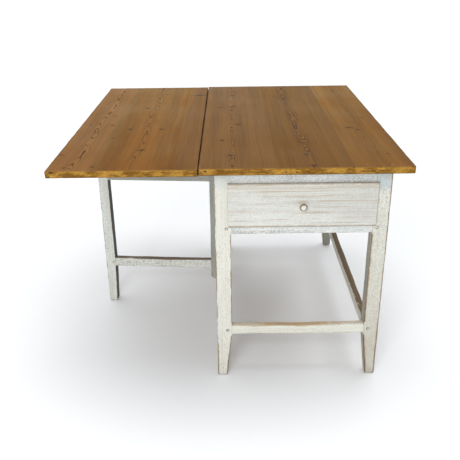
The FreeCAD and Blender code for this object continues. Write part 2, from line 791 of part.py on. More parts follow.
stile_start = s.gate_barrel_diameter / 2 + s.barrel_clearance
stile_end = stile_start + s.gate_stile_width
gate_leg_start = s.gate_reach - s.gate_leg_width
gate_top = underside - s.gate_top_drop
gate_leg_top = leaf_underside - s.leaf_rest_gap
gate_span = gate_leg_start - stile_end
stile_screw_depth = s.hinge_screw_length - s.gate_plate_thickness
gate_tenon_length = s.gate_stile_width - stile_screw_depth - s.gate_tenon_gap
gate_member_y = s.gate_thickness - s.gate_member_setback - s.gate_member_thickness / 2
gate_peg_depth = s.gate_member_setback + (s.gate_member_thickness + s.tenon_thickness) / 2 + s.peg_overrun
gate_members = {
    "gate_top_rail": (apron_bottom, gate_top - apron_bottom, apron_peg_levels),
    "gate_stretcher": (s.stretcher_bottom, s.stretcher_height, (stretcher_middle,)),
}
gate_member_rounds = {"gate_top_rail": s.rail_round, "gate_stretcher": s.stretcher_round}
gate_mortises = []
gate_pegs = []
gate_peg_holes = []
for label, (low, height, levels) in gate_members.items():
    centre = (stile_end + gate_span / 2, gate_member_y, low + height / 2)
    body = bar(
        label + "_blank", gate_span, s.gate_member_thickness, height, gate_member_rounds[label],
        gate_tenon_length)
    place(body, *centre)
    gate_mortises.append(mortise(label, True, centre, gate_span, height, gate_tenon_length))
    holes = []
    for along in (stile_end - s.gate_peg_inset, gate_leg_start + s.gate_peg_inset):
        for level in levels:
            start = (along, s.gate_thickness, level)
            pin, hole = peg(f"gate_peg_{len(gate_pegs)}", start, "-y", gate_peg_depth)
            gate_pegs.append(pin)
            holes.append(hole)
    gate_peg_holes.extend(holes)
    node(swing(cut(label, body, holes)), label)
gate_cavities = fuse("gate_cavities", gate_mortises + gate_peg_holes)
node(swing(group("gate_peg_set", gate_pegs)), "gate_pegs")

gate_leg_body = doc.addObject("PartDesign::Body", "gate_leg_blank")
gate_leg_square = outline(
    gate_leg_body, "gate_leg_square", "XY_Plane",
    rectangle(gate_leg_start, zero, s.gate_reach, s.gate_thickness))
gate_leg_pad = pad(gate_leg_body, gate_leg_square, gate_leg_top)
gate_foot_start = s.gate_reach - s.gate_foot_width
gate_taper = outline(
    gate_leg_body, "gate_leg_taper", "XZ_Plane",
    [(gate_leg_start, s.stretcher_bottom), (gate_leg_start, zero), (gate_foot_start, zero)])
gate_leg_pocket = pocket_through(gate_leg_body, gate_taper)
round_edges(gate_leg_body, "gate_leg_arrises", gate_leg_pocket, s.arris_round, rises)
node(swing(cut("gate_leg", gate_leg_body, [gate_cavities])), "gate_leg")

stile_body = doc.addObject("PartDesign::Body", "gate_stile_blank")
stile_side = outline(
    stile_body, "gate_stile_side", "XZ_Plane",
    rectangle(stile_start, s.gate_stile_bottom, stile_end, gate_top))
stile_pad = pad(stile_body, stile_side, s.gate_thickness, reverse=True)
stile_low = stile_pad.Shape.BoundBox.ZMin
round_edges(
    stile_body, "gate_stile_horn", stile_pad, (s.gate_stile_width - s.gate_stile_flat) / 2,
    lambda edge: runs_along(edge, 1) and near(edge.Vertexes[0].Z, stile_low))
stile_screws = []
for level_name, level in gate_hinge_levels.items():
    screws = hinge_screws(f"stile_screws_{level_name}", gate_hinge, 1, -1)
    stile_screws.append(place(screws, zero, zero, level, angle=90))
node(swing(cut("gate_stile", stile_body, [gate_cavities, *stile_screws])), "gate_stile")

# Drawer: a lipped front, dovetailed sides, a back between them and a bottom in grooves.
lip_back = frame_front - s.lip_gap
lip_front = lip_back - s.lip_thickness
lip_low = drawer_rail_top - s.lip_overlap
lip_high = opening_top + s.lip_overlap
lip_half = opening_width / 2 + s.lip_overlap
drawer_low = drawer_rail_top + s.drawer_run_gap
drawer_high = opening_top - s.drawer_top_gap
drawer_half = opening_width / 2 - s.drawer_side_gap
tongue_back = lip_back + s.tongue_thickness
side_height = drawer_high - drawer_low
side_end = tongue_back + s.drawer_side_length
side_left = {"left": middle_x - drawer_half, "right": middle_x + drawer_half - s.drawer_side_thickness}

# Dovetails: three tails on the front end of each side, above the groove for the bottom.
groove_low = drawer_low + s.drawer_bottom_rise
bottom_top = groove_low + s.drawer_bottom_thickness
tail_count = 3
tail_pitch = (drawer_high - bottom_top - s.tail_margin) / tail_count
tail_half = (tail_pitch - s.tail_gap) / 2
root_half = tail_half - s.tail_flare
tails = {"left": [], "right": []}
for side, left in side_left.items():
    for step in range(tail_count):
        level = bottom_top + s.tail_margin / 2 + tail_pitch * (step + 0.5)
        tail = doc.addObject("Part::Wedge", f"tail_{side}_{step}")
        bind(
            tail, Xmin=left, Xmax=left + s.drawer_side_thickness,
            X2min=left, X2max=left + s.drawer_side_thickness,
            Ymin=tongue_back - s.tail_length, Ymax=tongue_back,
            Zmin=level - tail_half, Zmax=level + tail_half,
            Z2min=level - root_half, Z2max=level + root_half)
        tails[side].append(tail)

# The bottom and the grooves that hold it on three sides.
bottom_left = side_left["left"] + s.drawer_side_thickness - s.groove_depth
bottom_width = drawer_half * 2 - s.drawer_side_thickness * 2 + s.groove_depth * 2
bottom_start = tongue_back - s.groove_depth
bottom_length = side_end - bottom_start
drawer_bottom = box(
    "drawer_bottom_panel", (bottom_left, bottom_start, groove_low),
    (bottom_width, bottom_length, s.drawer_bottom_thickness))
node(drawer_bottom, "drawer_bottom")
grooves = box(
    "drawer_bottom_grooves",
    (bottom_left - s.groove_fit, bottom_start - s.groove_fit, groove_low),
    (bottom_width + s.groove_fit * 2, bottom_length + s.groove_fit, s.drawer_bottom_thickness))

# The back, housed in the sides and standing on the bottom.
back_start = side_end - s.drawer_back_inset - s.drawer_back_thickness
drawer_back = box(
    "drawer_back_board", (bottom_left, back_start, bottom_top),
    (bottom_width, s.drawer_back_thickness, drawer_high - s.drawer_back_drop - bottom_top))
node(drawer_back, "drawer_back")

for side, left in side_left.items():
    plank = box(
        f"drawer_side_{side}_plank", (left, tongue_back, drawer_low),
        (s.drawer_side_thickness, s.drawer_side_length, side_height))
    whole = fuse(f"drawer_side_{side}_tailed", [plank, *tails[side]])
    node(cut(f"drawer_side_{side}", whole, [grooves, drawer_back]), f"drawer_side_{side}")

front_body = doc.addObject("PartDesign::Body", "drawer_front_blank")
lip = outline(front_body, "drawer_lip", "XZ_Plane", rectangle(-lip_half, lip_low, lip_half, lip_high))
lip_pad = pad(front_body, lip, s.lip_thickness)
lip_corners = round_edges(
    front_body, "drawer_lip_corners", lip_pad, s.lip_corner_round, lambda edge: runs_along(edge, 1))
lip_face = lip_corners.Shape.BoundBox.YMin
round_edges(
    front_body, "drawer_lip_edge", lip_corners, s.lip_round,
    lambda edge: all(near(vertex.Y, lip_face) for vertex in edge.Vertexes))
tongue = outline(
    front_body, "drawer_tongue", "XZ_Plane", rectangle(-drawer_half, drawer_low, drawer_half, drawer_high))
pad(front_body, tongue, s.tongue_thickness, reverse=True)
place(front_body, middle_x, lip_back, zero)
knob_level = (lip_low + lip_high) / 2
knob_hole_depth = s.lip_thickness + s.tongue_thickness
knob_hole = cylinder(
    "knob_hole", (middle_x, lip_front, knob_level), "+y",
    s.knob_shank_diameter + s.knob_fit * 2, knob_hole_depth)
front_tools = [*tails["left"], *tails["right"], grooves, knob_hole]
node(cut("drawer_front", front_body, front_tools), "drawer_front")

# Knob: turned, with a round head on a neck and a shank through the drawer front.
full_turn = 360
knob_body = doc.addObject("PartDesign::Body", "drawer_knob_turning")
shank_end = -(knob_hole_depth + s.knob_shank_proud)
head_start = s.knob_length - s.knob_head_length
knob_half = outline(
    knob_body, "drawer_knob_half", "XZ_Plane",
    [(zero, shank_end), (s.knob_shank_diameter / 2, shank_end), (s.knob_shank_diameter / 2, zero),
     (s.knob_base_diameter / 2, zero), (s.knob_base_diameter / 2, s.knob_base_thickness),
     (s.knob_neck_diameter / 2, s.knob_base_thickness),
     (s.knob_neck_diameter / 2, head_start - s.knob_flare_length),
     (s.knob_diameter / 2, head_start), (s.knob_diameter / 2, s.knob_length), (zero, s.knob_length)])
knob_turned = knob_body.newObject("PartDesign::Revolution", "drawer_knob_turned")
knob_turned.Profile = knob_half
knob_turned.ReferenceAxis = (knob_half, ["V_Axis"])
knob_turned.Angle = full_turn
knob_body.Tip = knob_turned
doc.recompute()
head_radius = max(edge.Curve.Radius for edge in knob_turned.Shape.Edges if hasattr(edge.Curve, "Radius"))
round_edges(
    knob_body, "drawer_knob_head", knob_turned, (s.knob_head_length - s.knob_head_flat) / 2,
    lambda edge: hasattr(edge.Curve, "Radius") and near(edge.Curve.Radius, head_radius))
place(knob_body, middle_x, lip_front, knob_level, axis=(1, 0, 0), angle=90)
node(knob_body, "drawer_knob")

doc.recompute()
failed = [thing.Label for thing in doc.Objects if "Invalid" in thing.State or "Error" in thing.State]
failed += [thing.Label for thing in nodes if thing.Shape.isNull() or not thing.Shape.isValid()]
if failed:
    raise RuntimeError(f"these pieces failed: {failed}")
os.makedirs("parts", exist_ok=True)
for thing in nodes:
    thing.Shape.exportStep(f"parts/{thing.Label}.step")
print(f"{len(nodes)} nodes, {sum(len(thing.Shape.Solids) for thing in nodes)} solids")
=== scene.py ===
import json
import math

import bpy
import numpy as np
from mathutils import Matrix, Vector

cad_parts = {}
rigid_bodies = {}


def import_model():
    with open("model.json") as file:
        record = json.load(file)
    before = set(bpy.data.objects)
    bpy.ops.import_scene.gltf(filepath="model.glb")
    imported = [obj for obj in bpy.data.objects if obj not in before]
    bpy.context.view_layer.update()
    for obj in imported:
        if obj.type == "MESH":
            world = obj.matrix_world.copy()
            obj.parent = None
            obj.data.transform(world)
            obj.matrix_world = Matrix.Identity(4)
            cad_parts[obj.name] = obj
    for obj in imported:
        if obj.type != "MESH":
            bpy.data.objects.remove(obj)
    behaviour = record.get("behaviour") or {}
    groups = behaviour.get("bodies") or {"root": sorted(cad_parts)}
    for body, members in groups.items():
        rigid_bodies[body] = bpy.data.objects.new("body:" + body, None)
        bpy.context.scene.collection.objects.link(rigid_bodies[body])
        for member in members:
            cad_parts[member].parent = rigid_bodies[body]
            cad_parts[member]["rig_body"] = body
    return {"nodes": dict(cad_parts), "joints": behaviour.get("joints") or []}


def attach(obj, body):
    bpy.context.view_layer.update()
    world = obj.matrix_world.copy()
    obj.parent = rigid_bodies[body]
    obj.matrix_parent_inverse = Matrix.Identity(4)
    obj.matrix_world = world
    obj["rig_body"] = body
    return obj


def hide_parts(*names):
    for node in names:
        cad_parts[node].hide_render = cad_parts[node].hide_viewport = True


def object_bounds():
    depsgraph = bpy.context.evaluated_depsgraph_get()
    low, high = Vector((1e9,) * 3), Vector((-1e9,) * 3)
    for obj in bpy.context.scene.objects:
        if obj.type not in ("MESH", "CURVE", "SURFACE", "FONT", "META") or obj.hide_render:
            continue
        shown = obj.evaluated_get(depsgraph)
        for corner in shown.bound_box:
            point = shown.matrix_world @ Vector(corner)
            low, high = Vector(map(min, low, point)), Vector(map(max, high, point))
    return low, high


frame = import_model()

# Drop-leaf table: waxed pine top on a painted base, the leaf up on its gate. Metres, +Z up, drawer at -Y.
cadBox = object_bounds()
nodes = frame["nodes"]
joints = {joint["name"]: joint for joint in frame["joints"]}
print("frame loaded with", len(nodes), "CAD nodes")


# Shapes

axisOrder = {"x": [0, 1, 2], "y": [1, 2, 0], "z": [2, 0, 1]}  # along the bar, then the two ways across it
fullTurn, quarterTurn = 2 * np.pi, np.pi / 2
farInland = 0.05  # arris distance where no edge shows
gatePin = np.array(joints["gate_swing"]["pos_m"])
gateAjar = math.radians(joints["gate_swing"]["range_deg"][1])  # turn that would set the gate square
wanderLook = dict(waves=6, rates=(0.3, 1.5), height=3.5)
knockLook = dict(sizes=(0.4, 1.4), bites=(0.3, 1))
planedLook = dict(waves=8, rates=(8, 60), lobes=(1, 7), level=0.5, height=10)


def turned(points, angle, centre):  # points turned about an upright line through centre
    c, s = math.cos(angle), math.sin(angle)
    return (points - centre) @ np.array([[c, s, 0], [-s, c, 0], [0, 0, 1]]) + centre


def nodeBox(node):  # lowest and highest corner; a gate piece is measured as if the gate stood square
    mesh = nodes[node].data
    points = np.empty(len(mesh.vertices) * 3)
    mesh.vertices.foreach_get("co", points)
    points = points.reshape(-1, 3)
    if nodes[node]["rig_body"] == "gate":
        points = turned(points, gateAjar, gatePin)
    return points.min(0), points.max(0)


def heights(node):  # of its bottom and its top
    return [corner[2] for corner in nodeBox(node)]


# slow random line: a sum of cosines with fixed phases, about -1 to 1
def wander(t, seed, step):
    rng = np.random.default_rng(seed)
    rate = rng.uniform(*wanderLook["rates"], wanderLook["waves"]) * fullTurn / step
    phase = rng.uniform(0, fullTurn, wanderLook["waves"])
    return np.cos(np.multiply.outer(t, rate) + phase).sum(-1) / wanderLook["height"]


# knocks along an edge: bell-shaped bites at fixed random places
def knocks(t, seed, count, width, depth):
    rng = np.random.default_rng(seed)
    place = rng.uniform(t.min(), t.max(), count)
    size = width * rng.uniform(*knockLook["sizes"], count)
    bite = depth * rng.uniform(*knockLook["bites"], count) ** 2
    return (bite * np.exp(-((t[..., None] - place) / size) ** 2)).sum(-1)


# hand-planed unevenness: waves along the bar times whole waves round its section, so that the ring closes
def planed(s, ringCount, seed, depth):
    rng = np.random.default_rng(seed)
    angle = np.arange(ringCount) * fullTurn / ringCount
    height = np.zeros((len(s), ringCount))
    for wave in range(planedLook["waves"]):
        rate, lobes = rng.uniform(*planedLook["rates"]), rng.integers(*planedLook["lobes"])
        height += np.cos(rate * s[:, None] + lobes * angle + rng.uniform(0, fullTurn))
    return depth * np.maximum(planedLook["level"] + height / planedLook["height"], 0)


barBase = dict(
    arcPoints=5, mostRound=0.49,  # points on a rounded arris, its largest share of the section
    endSpare=1.3, endGap=0.001,  # length kept from an end: in its radii, in metres
    rimSteps=6, rimGrid=0.00005,  # rings on a rounded end, least distance between two of them
    arrisWander=0.4, arrisWave=0.15, rimWander=0.3, rimWave=0.06, rimWay=(1, 1.7), knockWide=0.005,
    chipWide=0.004, chipDeep=0.006,
    rimWear=0.004, rimFade=10,  # end radius up to which a rim shows wear, how fast it goes beyond that
    sheltered=[], coverEase=0.003, coverTight=0.85,  # where a flush neighbour keeps an arris tight
    flatRings=((0.004, 0.25), (0.01, 0.55)), flatInland=0.01,  # flat end: distance in, largest share
    tenon=None, tenonArris=0.001, bare=[], bareSpread=0.6, paintedShade=(0, 0, 0, 0),
    seeds=dict(knocks=10, planed=20, rim=30, chips=40))  # steps from the seed of the piece


# rounded rectangle at every station: each corner is centre + radius * (cos, sin) over a quarter turn,
# each side the straight run between two corners, with its points closer together near the corners
def roundedRings(low, high, radii, sidePoints, shelter):
    sign = np.array([[1, 1], [-1, 1], [-1, -1], [1, -1]])
    radii = np.minimum(radii, barBase["mostRound"] * (high - low).min(1)[:, None])
    centre = np.where(sign > 0, high[:, None], low[:, None]) - sign * radii[..., None]
    turn = (np.arange(4)[:, None] + np.linspace(0, 1, barBase["arcPoints"])) * quarterTurn
    way = np.stack([np.cos(turn), np.sin(turn)], -1)
    arc = centre[:, :, None] + radii[..., None, None] * way
    halfArc = radii * quarterTurn / 2 + shelter
    points, normals, inland = [], [], []
    for k in range(4):
        after = (k + 1) % 4
        f = (1 - np.cos(np.pi * np.linspace(0, 1, sidePoints[k % 2] + 2)[1:-1])) / 2
        first, last = arc[:, k, -1:], arc[:, after, :1]
        points += [arc[:, k], first + (last - first) * f[:, None]]
        normals += [way[k], np.repeat(way[k, -1:], len(f), 0)]
        reach = np.linalg.norm(last - first, axis=-1)
        fromMiddle = np.abs(np.linspace(-1, 1, barBase["arcPoints"])) * quarterTurn / 2
        onSide = np.minimum(reach * f + halfArc[:, [k]], reach * (1 - f) + halfArc[:, [after]])
        inland += [radii[:, [k]] * fromMiddle + shelter[:, [k]], onSide]
    return np.concatenate(points, 1), np.concatenate(normals), np.concatenate(inland, 1)


# A bar: the rounded section carried along from at[0] to at[-1], with sides straight between the stations.
# Near an end each side turns in on a quarter round of its own radius e: at distance d from the end, the
# section is narrower there by e - sqrt(e^2 - (e - d)^2). The end closes on one point, or goes on as a tenon.
# Points are (along, first way across, second way); sides go +first, +second, -first, -second.
def barSurface(changes, at, low, high):
    look = {**barBase, **changes}
    at, low, high = np.asarray(at, float), np.asarray(low, float), np.asarray(high, float)
    seeds = {key: look["seed"] + step for key, step in look["seeds"].items()}
    ends = np.asarray(look["ends"])
    spare = look["endSpare"] * ends.max(1) + look["endGap"]
    s = np.linspace(at[0] + spare[0], at[-1] - spare[1], int((at[-1] - at[0]) / look["step"]))
    s = np.unique(np.concatenate([s, at[(at > s[0]) & (at < s[-1])]]))

    def rings(stations, uneven, inset=np.zeros((1, 4))):
        cover = np.zeros((len(stations), 4))  # 1 where another piece lies flush against the corner
        for corner, first, last in look["sheltered"]:
            inside = np.minimum(stations - first, last - stations)
            eased = np.interp(inside, (-look["coverEase"], look["coverEase"]), (0, 1))
            cover[:, corner] = np.maximum(cover[:, corner], eased)
        lows = np.stack([np.interp(stations, at, low[:, i]) for i in (0, 1)], 1) + inset[:, 2:]
        highs = np.stack([np.interp(stations, at, high[:, i]) for i in (0, 1)], 1) - inset[:, :2]
        radii = np.stack([
            r * (1 + look["arrisWander"] * uneven * wander(stations, look["seed"] + k, look["arrisWave"]))
            + uneven * knocks(stations, seeds["knocks"] + k, look["knocks"], look["knockWide"], look["bite"])
            for k, r in enumerate(look["arris"])], 1)
        radii = radii * (1 - look["coverTight"] * cover)
        return roundedRings(lows, highs, radii, look["sides"], farInland * cover)

    ring, normal, inland = rings(s, 1)
    ring = ring - normal * planed(s, ring.shape[1], seeds["planed"], look["planed"])[..., None]
    along = np.repeat(s[:, None], ring.shape[1], 1)
    if look["endWear"]:
        inland = np.minimum(inland, np.minimum(along - at[0], at[-1] - along))

    def finish(end, outwards):  # rim, then tenon or cap, listed from the side surface outwards
        e = ends[end]
        t = np.linspace(0, quarterTurn, look["rimSteps"])[:, None]
        depth = np.unique((e * (1 - np.sin(t)) / look["rimGrid"]).round())[::-1] * look["rimGrid"]
        inset = e - np.sqrt(np.maximum(e ** 2 - np.maximum(e - depth[:, None], 0) ** 2, 0))
        stations = at[-end] - outwards * depth
        full, _, edge = rings(stations, 0)
        place = full[-1] @ np.array(look["rimWay"])
        uneven = 1 + look["rimWander"] * wander(place, seeds["rim"] + end, look["rimWave"])
        rim = full + (rings(stations, 0, inset)[0] - full) * uneven[:, None]
        chips = knocks(place, seeds["chips"] + end, look["knocks"], look["chipWide"], look["bite"])
        chips = look["endWear"] * chips
        level = stations[:, None] - outwards * chips * np.clip(1 - depth / look["chipDeep"], 0, 1)[:, None]
        if look["endWear"]:
            share = np.stack([normal[:, 0], normal[:, 1], -normal[:, 0], -normal[:, 1]]).clip(0) ** 2
            own = e @ share
            lean = np.arcsin(np.clip(1 - depth[:, None] / own, 0, 1))
            fromRim = np.abs(lean - quarterTurn / 2) * own + np.maximum(depth[:, None] - own, 0)
            edge = np.minimum(edge, fromRim + look["rimFade"] * np.maximum(own - look["rimWear"], 0))
        shells = list(zip(rim, level, edge))
        inner = np.full(len(normal), look["flatInland"])
        tip, tipLevel = rim[-1], np.full(len(normal), at[-end])
        if look["tenon"]:
            middle = (low[-end] + high[-end]) / 2
            half = np.array(look["tenon"]["half"])[None]
            tight, hidden = np.full((1, 4), look["tenonArris"]), np.full((1, 4), farInland)
            tip = roundedRings(middle - half, middle + half, tight, look["sides"], hidden)[0][0]
            tipLevel = np.full(len(tip), at[-end] + outwards * look["tenon"]["length"])
            shells += [(tip, np.full(len(tip), at[-end]), inner), (tip, tipLevel, inner)]
        middle, half = (tip.min(0) + tip.max(0)) / 2, (tip.max(0) - tip.min(0)) / 2
        for inwards, most in look["flatRings"]:
            shrink = 1 - np.minimum(inwards / half, most)
            shells += [(middle + (tip - middle) * shrink, tipLevel, inner)]
        return shells, np.array([tipLevel.mean(), *middle])

    startShells, startPole = finish(0, -1)
    endShells, endPole = finish(1, 1)
    blocks = startShells[::-1] + list(zip(ring, along, inland)) + endShells
    points = np.stack([np.column_stack([length, section]) for section, length, _ in blocks])
    arris = np.stack([edge for _, _, edge in blocks])
    facing = normal @ np.array([[1, 0, -1, 0], [0, 1, 0, -1]])
    # painted shade: each side is darkened by its own amount, for faces turned in under the table
    paintedShade = (facing.clip(0, 1) * look["paintedShade"]).max(1)
    bare = np.zeros(arris.shape)
    for patch in look["bare"]:  # a side that shows its wood, with the amount at the ends and in the middle
        middle, half = (at[0] + at[-1]) / 2, (at[-1] - at[0]) / 2
        spread = np.exp(-((points[..., 0] - middle) / (look["bareSpread"] * half)) ** 2)
        amount = patch["ends"] + (patch["middle"] - patch["ends"]) * spread
        bare = np.maximum(bare, facing[:, patch["side"]].clip(0, 1) * amount)
    return points, (startPole, endPole), arris, bare, np.broadcast_to(paintedShade, arris.shape)


# rings to faces, numbered from start: quads between neighbouring rings, a fan from each end ring to its point
def ringFaces(ringTotal, ringCount, start):
    index = start + np.arange(ringTotal * ringCount).reshape(ringTotal, ringCount)
    after = np.roll(index, -1, 1)
    quads = np.stack([index[:-1], after[:-1], after[1:], index[1:]], -1).reshape(-1, 4)
    poles = start + ringTotal * ringCount + np.arange(2)
    startFan = np.stack([np.full(ringCount, poles[0]), after[0], index[0]], -1)
    endFan = np.stack([np.full(ringCount, poles[1]), index[-1], after[-1]], -1)
    return quads.tolist() + startFan.tolist() + endFan.tolist()


sharpFrom = math.radians(50)
grainShift = np.array([1.37, 0.61, 0.83])  # moves the grain on from piece to piece


# one object from one or more closed surfaces, each (points, poles, arris, bare, painted shade) in bar
# coordinates
def addPiece(node, ending, axis, surfaces, material, seed):
    body = nodes[node]["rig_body"]
    vertices, faces, grainAll, wearAndShade = [], [], [], {"arris": [], "bare": [], "paintedShade": []}
    # wear carries the arris and bare amounts and the painted shade of each surface
    for points, poles, *wear in surfaces:
        start = sum(len(v) for v in vertices)
        local = np.concatenate([points.reshape(-1, 3), np.array(poles)])
        world = np.empty_like(local)
        world[:, axisOrder[axis]] = local
        faces += ringFaces(*points.shape[:2], start)
        vertices.append(turned(world, -gateAjar, gatePin) if body == "gate" else world)
        for values, amount in zip(wearAndShade.values(), wear):
            values.append(np.append(amount.ravel(), [amount.flat[0], amount.flat[-1]]))
        grainAll.append(local + seed * grainShift)
    mesh = bpy.data.meshes.new(node + ending)
    mesh.from_pydata(np.concatenate(vertices), [], faces)
    mesh.polygons.foreach_set("use_smooth", np.ones(len(mesh.polygons), bool))
    mesh.set_sharp_from_angle(angle=sharpFrom)
    for key, values in wearAndShade.items():
        mesh.attributes.new(key, "FLOAT", "POINT").data.foreach_set("value", np.concatenate(values))
    grain = mesh.attributes.new("grain", "FLOAT_VECTOR", "POINT")
    grain.data.foreach_set("vector", np.concatenate(grainAll).ravel())
    mesh.materials.append(material)
    piece = bpy.data.objects.new(node + ending, mesh)
    bpy.context.scene.collection.objects.link(piece)
    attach(piece, body)
    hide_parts(node)


# Shader helpers: nodes go into the tree opened last; a wire is a node's output, to add, multiply and so on

opened = {}
noiseMiddle = 0.5


class wire:
    def __init__(self, socket):
        self.socket = socket

    def __add__(self, other):
        return maths("ADD", self, other)

    def __sub__(self, other):
        return maths("SUBTRACT", self, other)

    def __mul__(self, other):
        return maths("MULTIPLY", self, other)

    def __truediv__(self, other):
        return maths("DIVIDE", self, other)

    def __abs__(self):
        return maths("ABSOLUTE", self)


def openMaterial(name, steps):
    material = bpy.data.materials.new(name)
    material.use_nodes = True
    opened.update(tree=material.node_tree, steps=steps)
    return material


def connect(made, inputs):  # gives a node its values, links and colours
    for key, value in inputs.items():
        socket = made.inputs[key]
        if isinstance(value, wire):
            opened["tree"].links.new(value.socket, socket)
        else:
            socket.default_value = (*value, 1) if socket.type == "RGBA" else value


def put(kind, inputs, output=0, **settings):
    made = opened["tree"].nodes.new(kind)
    for key, value in settings.items():
        setattr(made, key, value)
    connect(made, inputs)
    return wire(made.outputs[output])


def maths(operation, *values):
    return put("ShaderNodeMath", dict(enumerate(values)), operation=operation)


def larger(first, *others):
    for other in others:
        first = maths("MAXIMUM", first, other)
    return first


def blend(amount, a, b, kind="MIX"):  # sockets of a colour mix: 0 its factor, 6 and 7 its colours, 2 out
    return put("ShaderNodeMix", {0: amount, 6: a, 7: b}, 2, data_type="RGBA", blend_type=kind)


def tinted(colour, tint, amount=1):
    return blend(amount, colour, tint, "MULTIPLY")


def fade(value, start, end, low=0, high=1):  # smooth step from start to end
    inputs = {"Value": value, "From Min": start, "From Max": end, "To Min": low, "To Max": high}
    return put("ShaderNodeMapRange", inputs, interpolation_type="SMOOTHSTEP")


def step(name, value, *ends, base=0):  # one of the material's smooth steps, its places counted from base
    start, end, *own = opened["steps"][name]
    return fade(value, base + start, base + end, *own, *ends)


def vectors(operation, *values, output=0):
    return put("ShaderNodeVectorMath", dict(enumerate(values)), output, operation=operation)


def distance(place, point, stretch):  # from a point, with its own factor each way; a length is output 1
    return vectors("LENGTH", vectors("MULTIPLY", vectors("SUBTRACT", place, point), stretch), output=1)


def cloud(vector, factors, detail=2, roughness=0.5):  # noise with its own scale each way
    scaled = vectors("MULTIPLY", vector, factors)
    inputs = {"Vector": scaled, "Scale": 1, "Detail": detail, "Roughness": roughness}
    return put("ShaderNodeTexNoise", inputs)


def swing(value, rate, seed, detail, amount):  # noise along one length, from -amount / 2 to amount / 2
    inputs = {"W": value * rate + seed, "Scale": 1, "Detail": detail}
    return (put("ShaderNodeTexNoise", inputs, noise_dimensions="1D") - noiseMiddle) * amount


def objectPlace():
    return put("ShaderNodeTexCoord", {}, "Object")


def part(vector, axis):
    return put("ShaderNodeSeparateXYZ", {0: vector}, axis)


def attribute(name, output="Fac"):
    return put("ShaderNodeAttribute", {}, output, attribute_name=name)


def dress(looks, height, relief):  # relief: distance, strength
    looks["Normal"] = put("ShaderNodeBump", {"Height": height, "Distance": relief[0], "Strength": relief[1]})
    connect(opened["tree"].nodes["Principled BSDF"], looks)


# Waxed pine: growth rings are the distance from a pith line that wanders below the board, cut into years;
# knots push the rings aside. Ends and edges are rubbed to golden wood, the underside is left raw.

wax = dict(
    late=(0.066, 0.026, 0.009), knot=(0.03, 0.015, 0.008), halo=(0.1, 0.045, 0.017),
    gold=(0.48, 0.255, 0.046), goldDark=(0.215, 0.1, 0.017), arris=(0.27, 0.138, 0.046),
    rim=(0.13, 0.062, 0.012), grime=(0.03, 0.021, 0.017), raw=(0.34, 0.22, 0.115),
    rawDark=(0.2, 0.115, 0.055), dust=(0.4, 0.33, 0.25))
pineClouds = dict(  # scale each way, detail, roughness
    ripple=((45, 7, 45), 3), fibre=((190, 4, 190), 4, 0.6), band=((17, 0.6, 5), 2),
    patch=((5, 4, 5), 3), stain=((19, 19, 75), 4, 0.62), strokes=((120, 120, 420), 3, 0.6))
pineSteps = dict(  # where each smooth step starts and ends, then its values there; lengths in metres
    push=(0, 4.5, 1, 0), core=(0.3, 0.95, 0.9, 0), halo=(0.5, 1.9, 0.45, 0),
    yearEnd=(0.94, 1, 1, 0), warm=(0.3, 0.7), front=(0.06, 0.02), rubbed=(0.0012, 0.0068, 1, 0),
    rubbedPatch=(0.3, 0.6, 0.5, 1), rubbedFront=(0, 1, 0.8, 0.45), speck=(0.56, 0.68),
    dust=(0.3, 1, 0.6, 0), edge=(-0.0022, -0.0012), stain=(0.41, 0.59), hole=(0.4, 1, 0.85, 0),
    strokes=(0.3, 0.7, 0.62, 1.25), lowLine=(0.0008, 0.0035, 0.5, 1), light=(0.0004, 0.0024, 1, 0),
    lightPatch=(0.3, 0.6, 0.3, 0.8), lightTop=(-0.008, -0.004), seam=(0.0006, 0.0016, 1, 0),
    seamTop=(-0.0022, -0.001, 0.92, 0), raw=(0.3, 0.7), under=(0.0003, 0.0012, 1, 0))
pine = dict(
    swayRate=2.6, swaySeed=3.7, swayDetail=1, waveSeed=9.1, waveDetail=2, lateTo=0.9,
    knotFlat=(0.8, 1), knotDeep=0.35, ragged=0.004, sideFigure=0.3, yearSpread=0.55, yearLeast=0.45,
    fibre=0.8, band=0.9, stripeSway=0.3, stripeRagged=0.008, stripeCore=0.4, stripeEase=0.006, stripe=0.85,
    specks=((210, 150, 210), 3, 0.7), holeFlat=(0.7, 1, 1), rawRings=0.5, gloss=0.36, edgeGloss=0.12,
    patchGloss=0.25, rawGloss=0.3, ringHeight=0.5, fibreHeight=0.6, relief=(0.0006, 0.35))


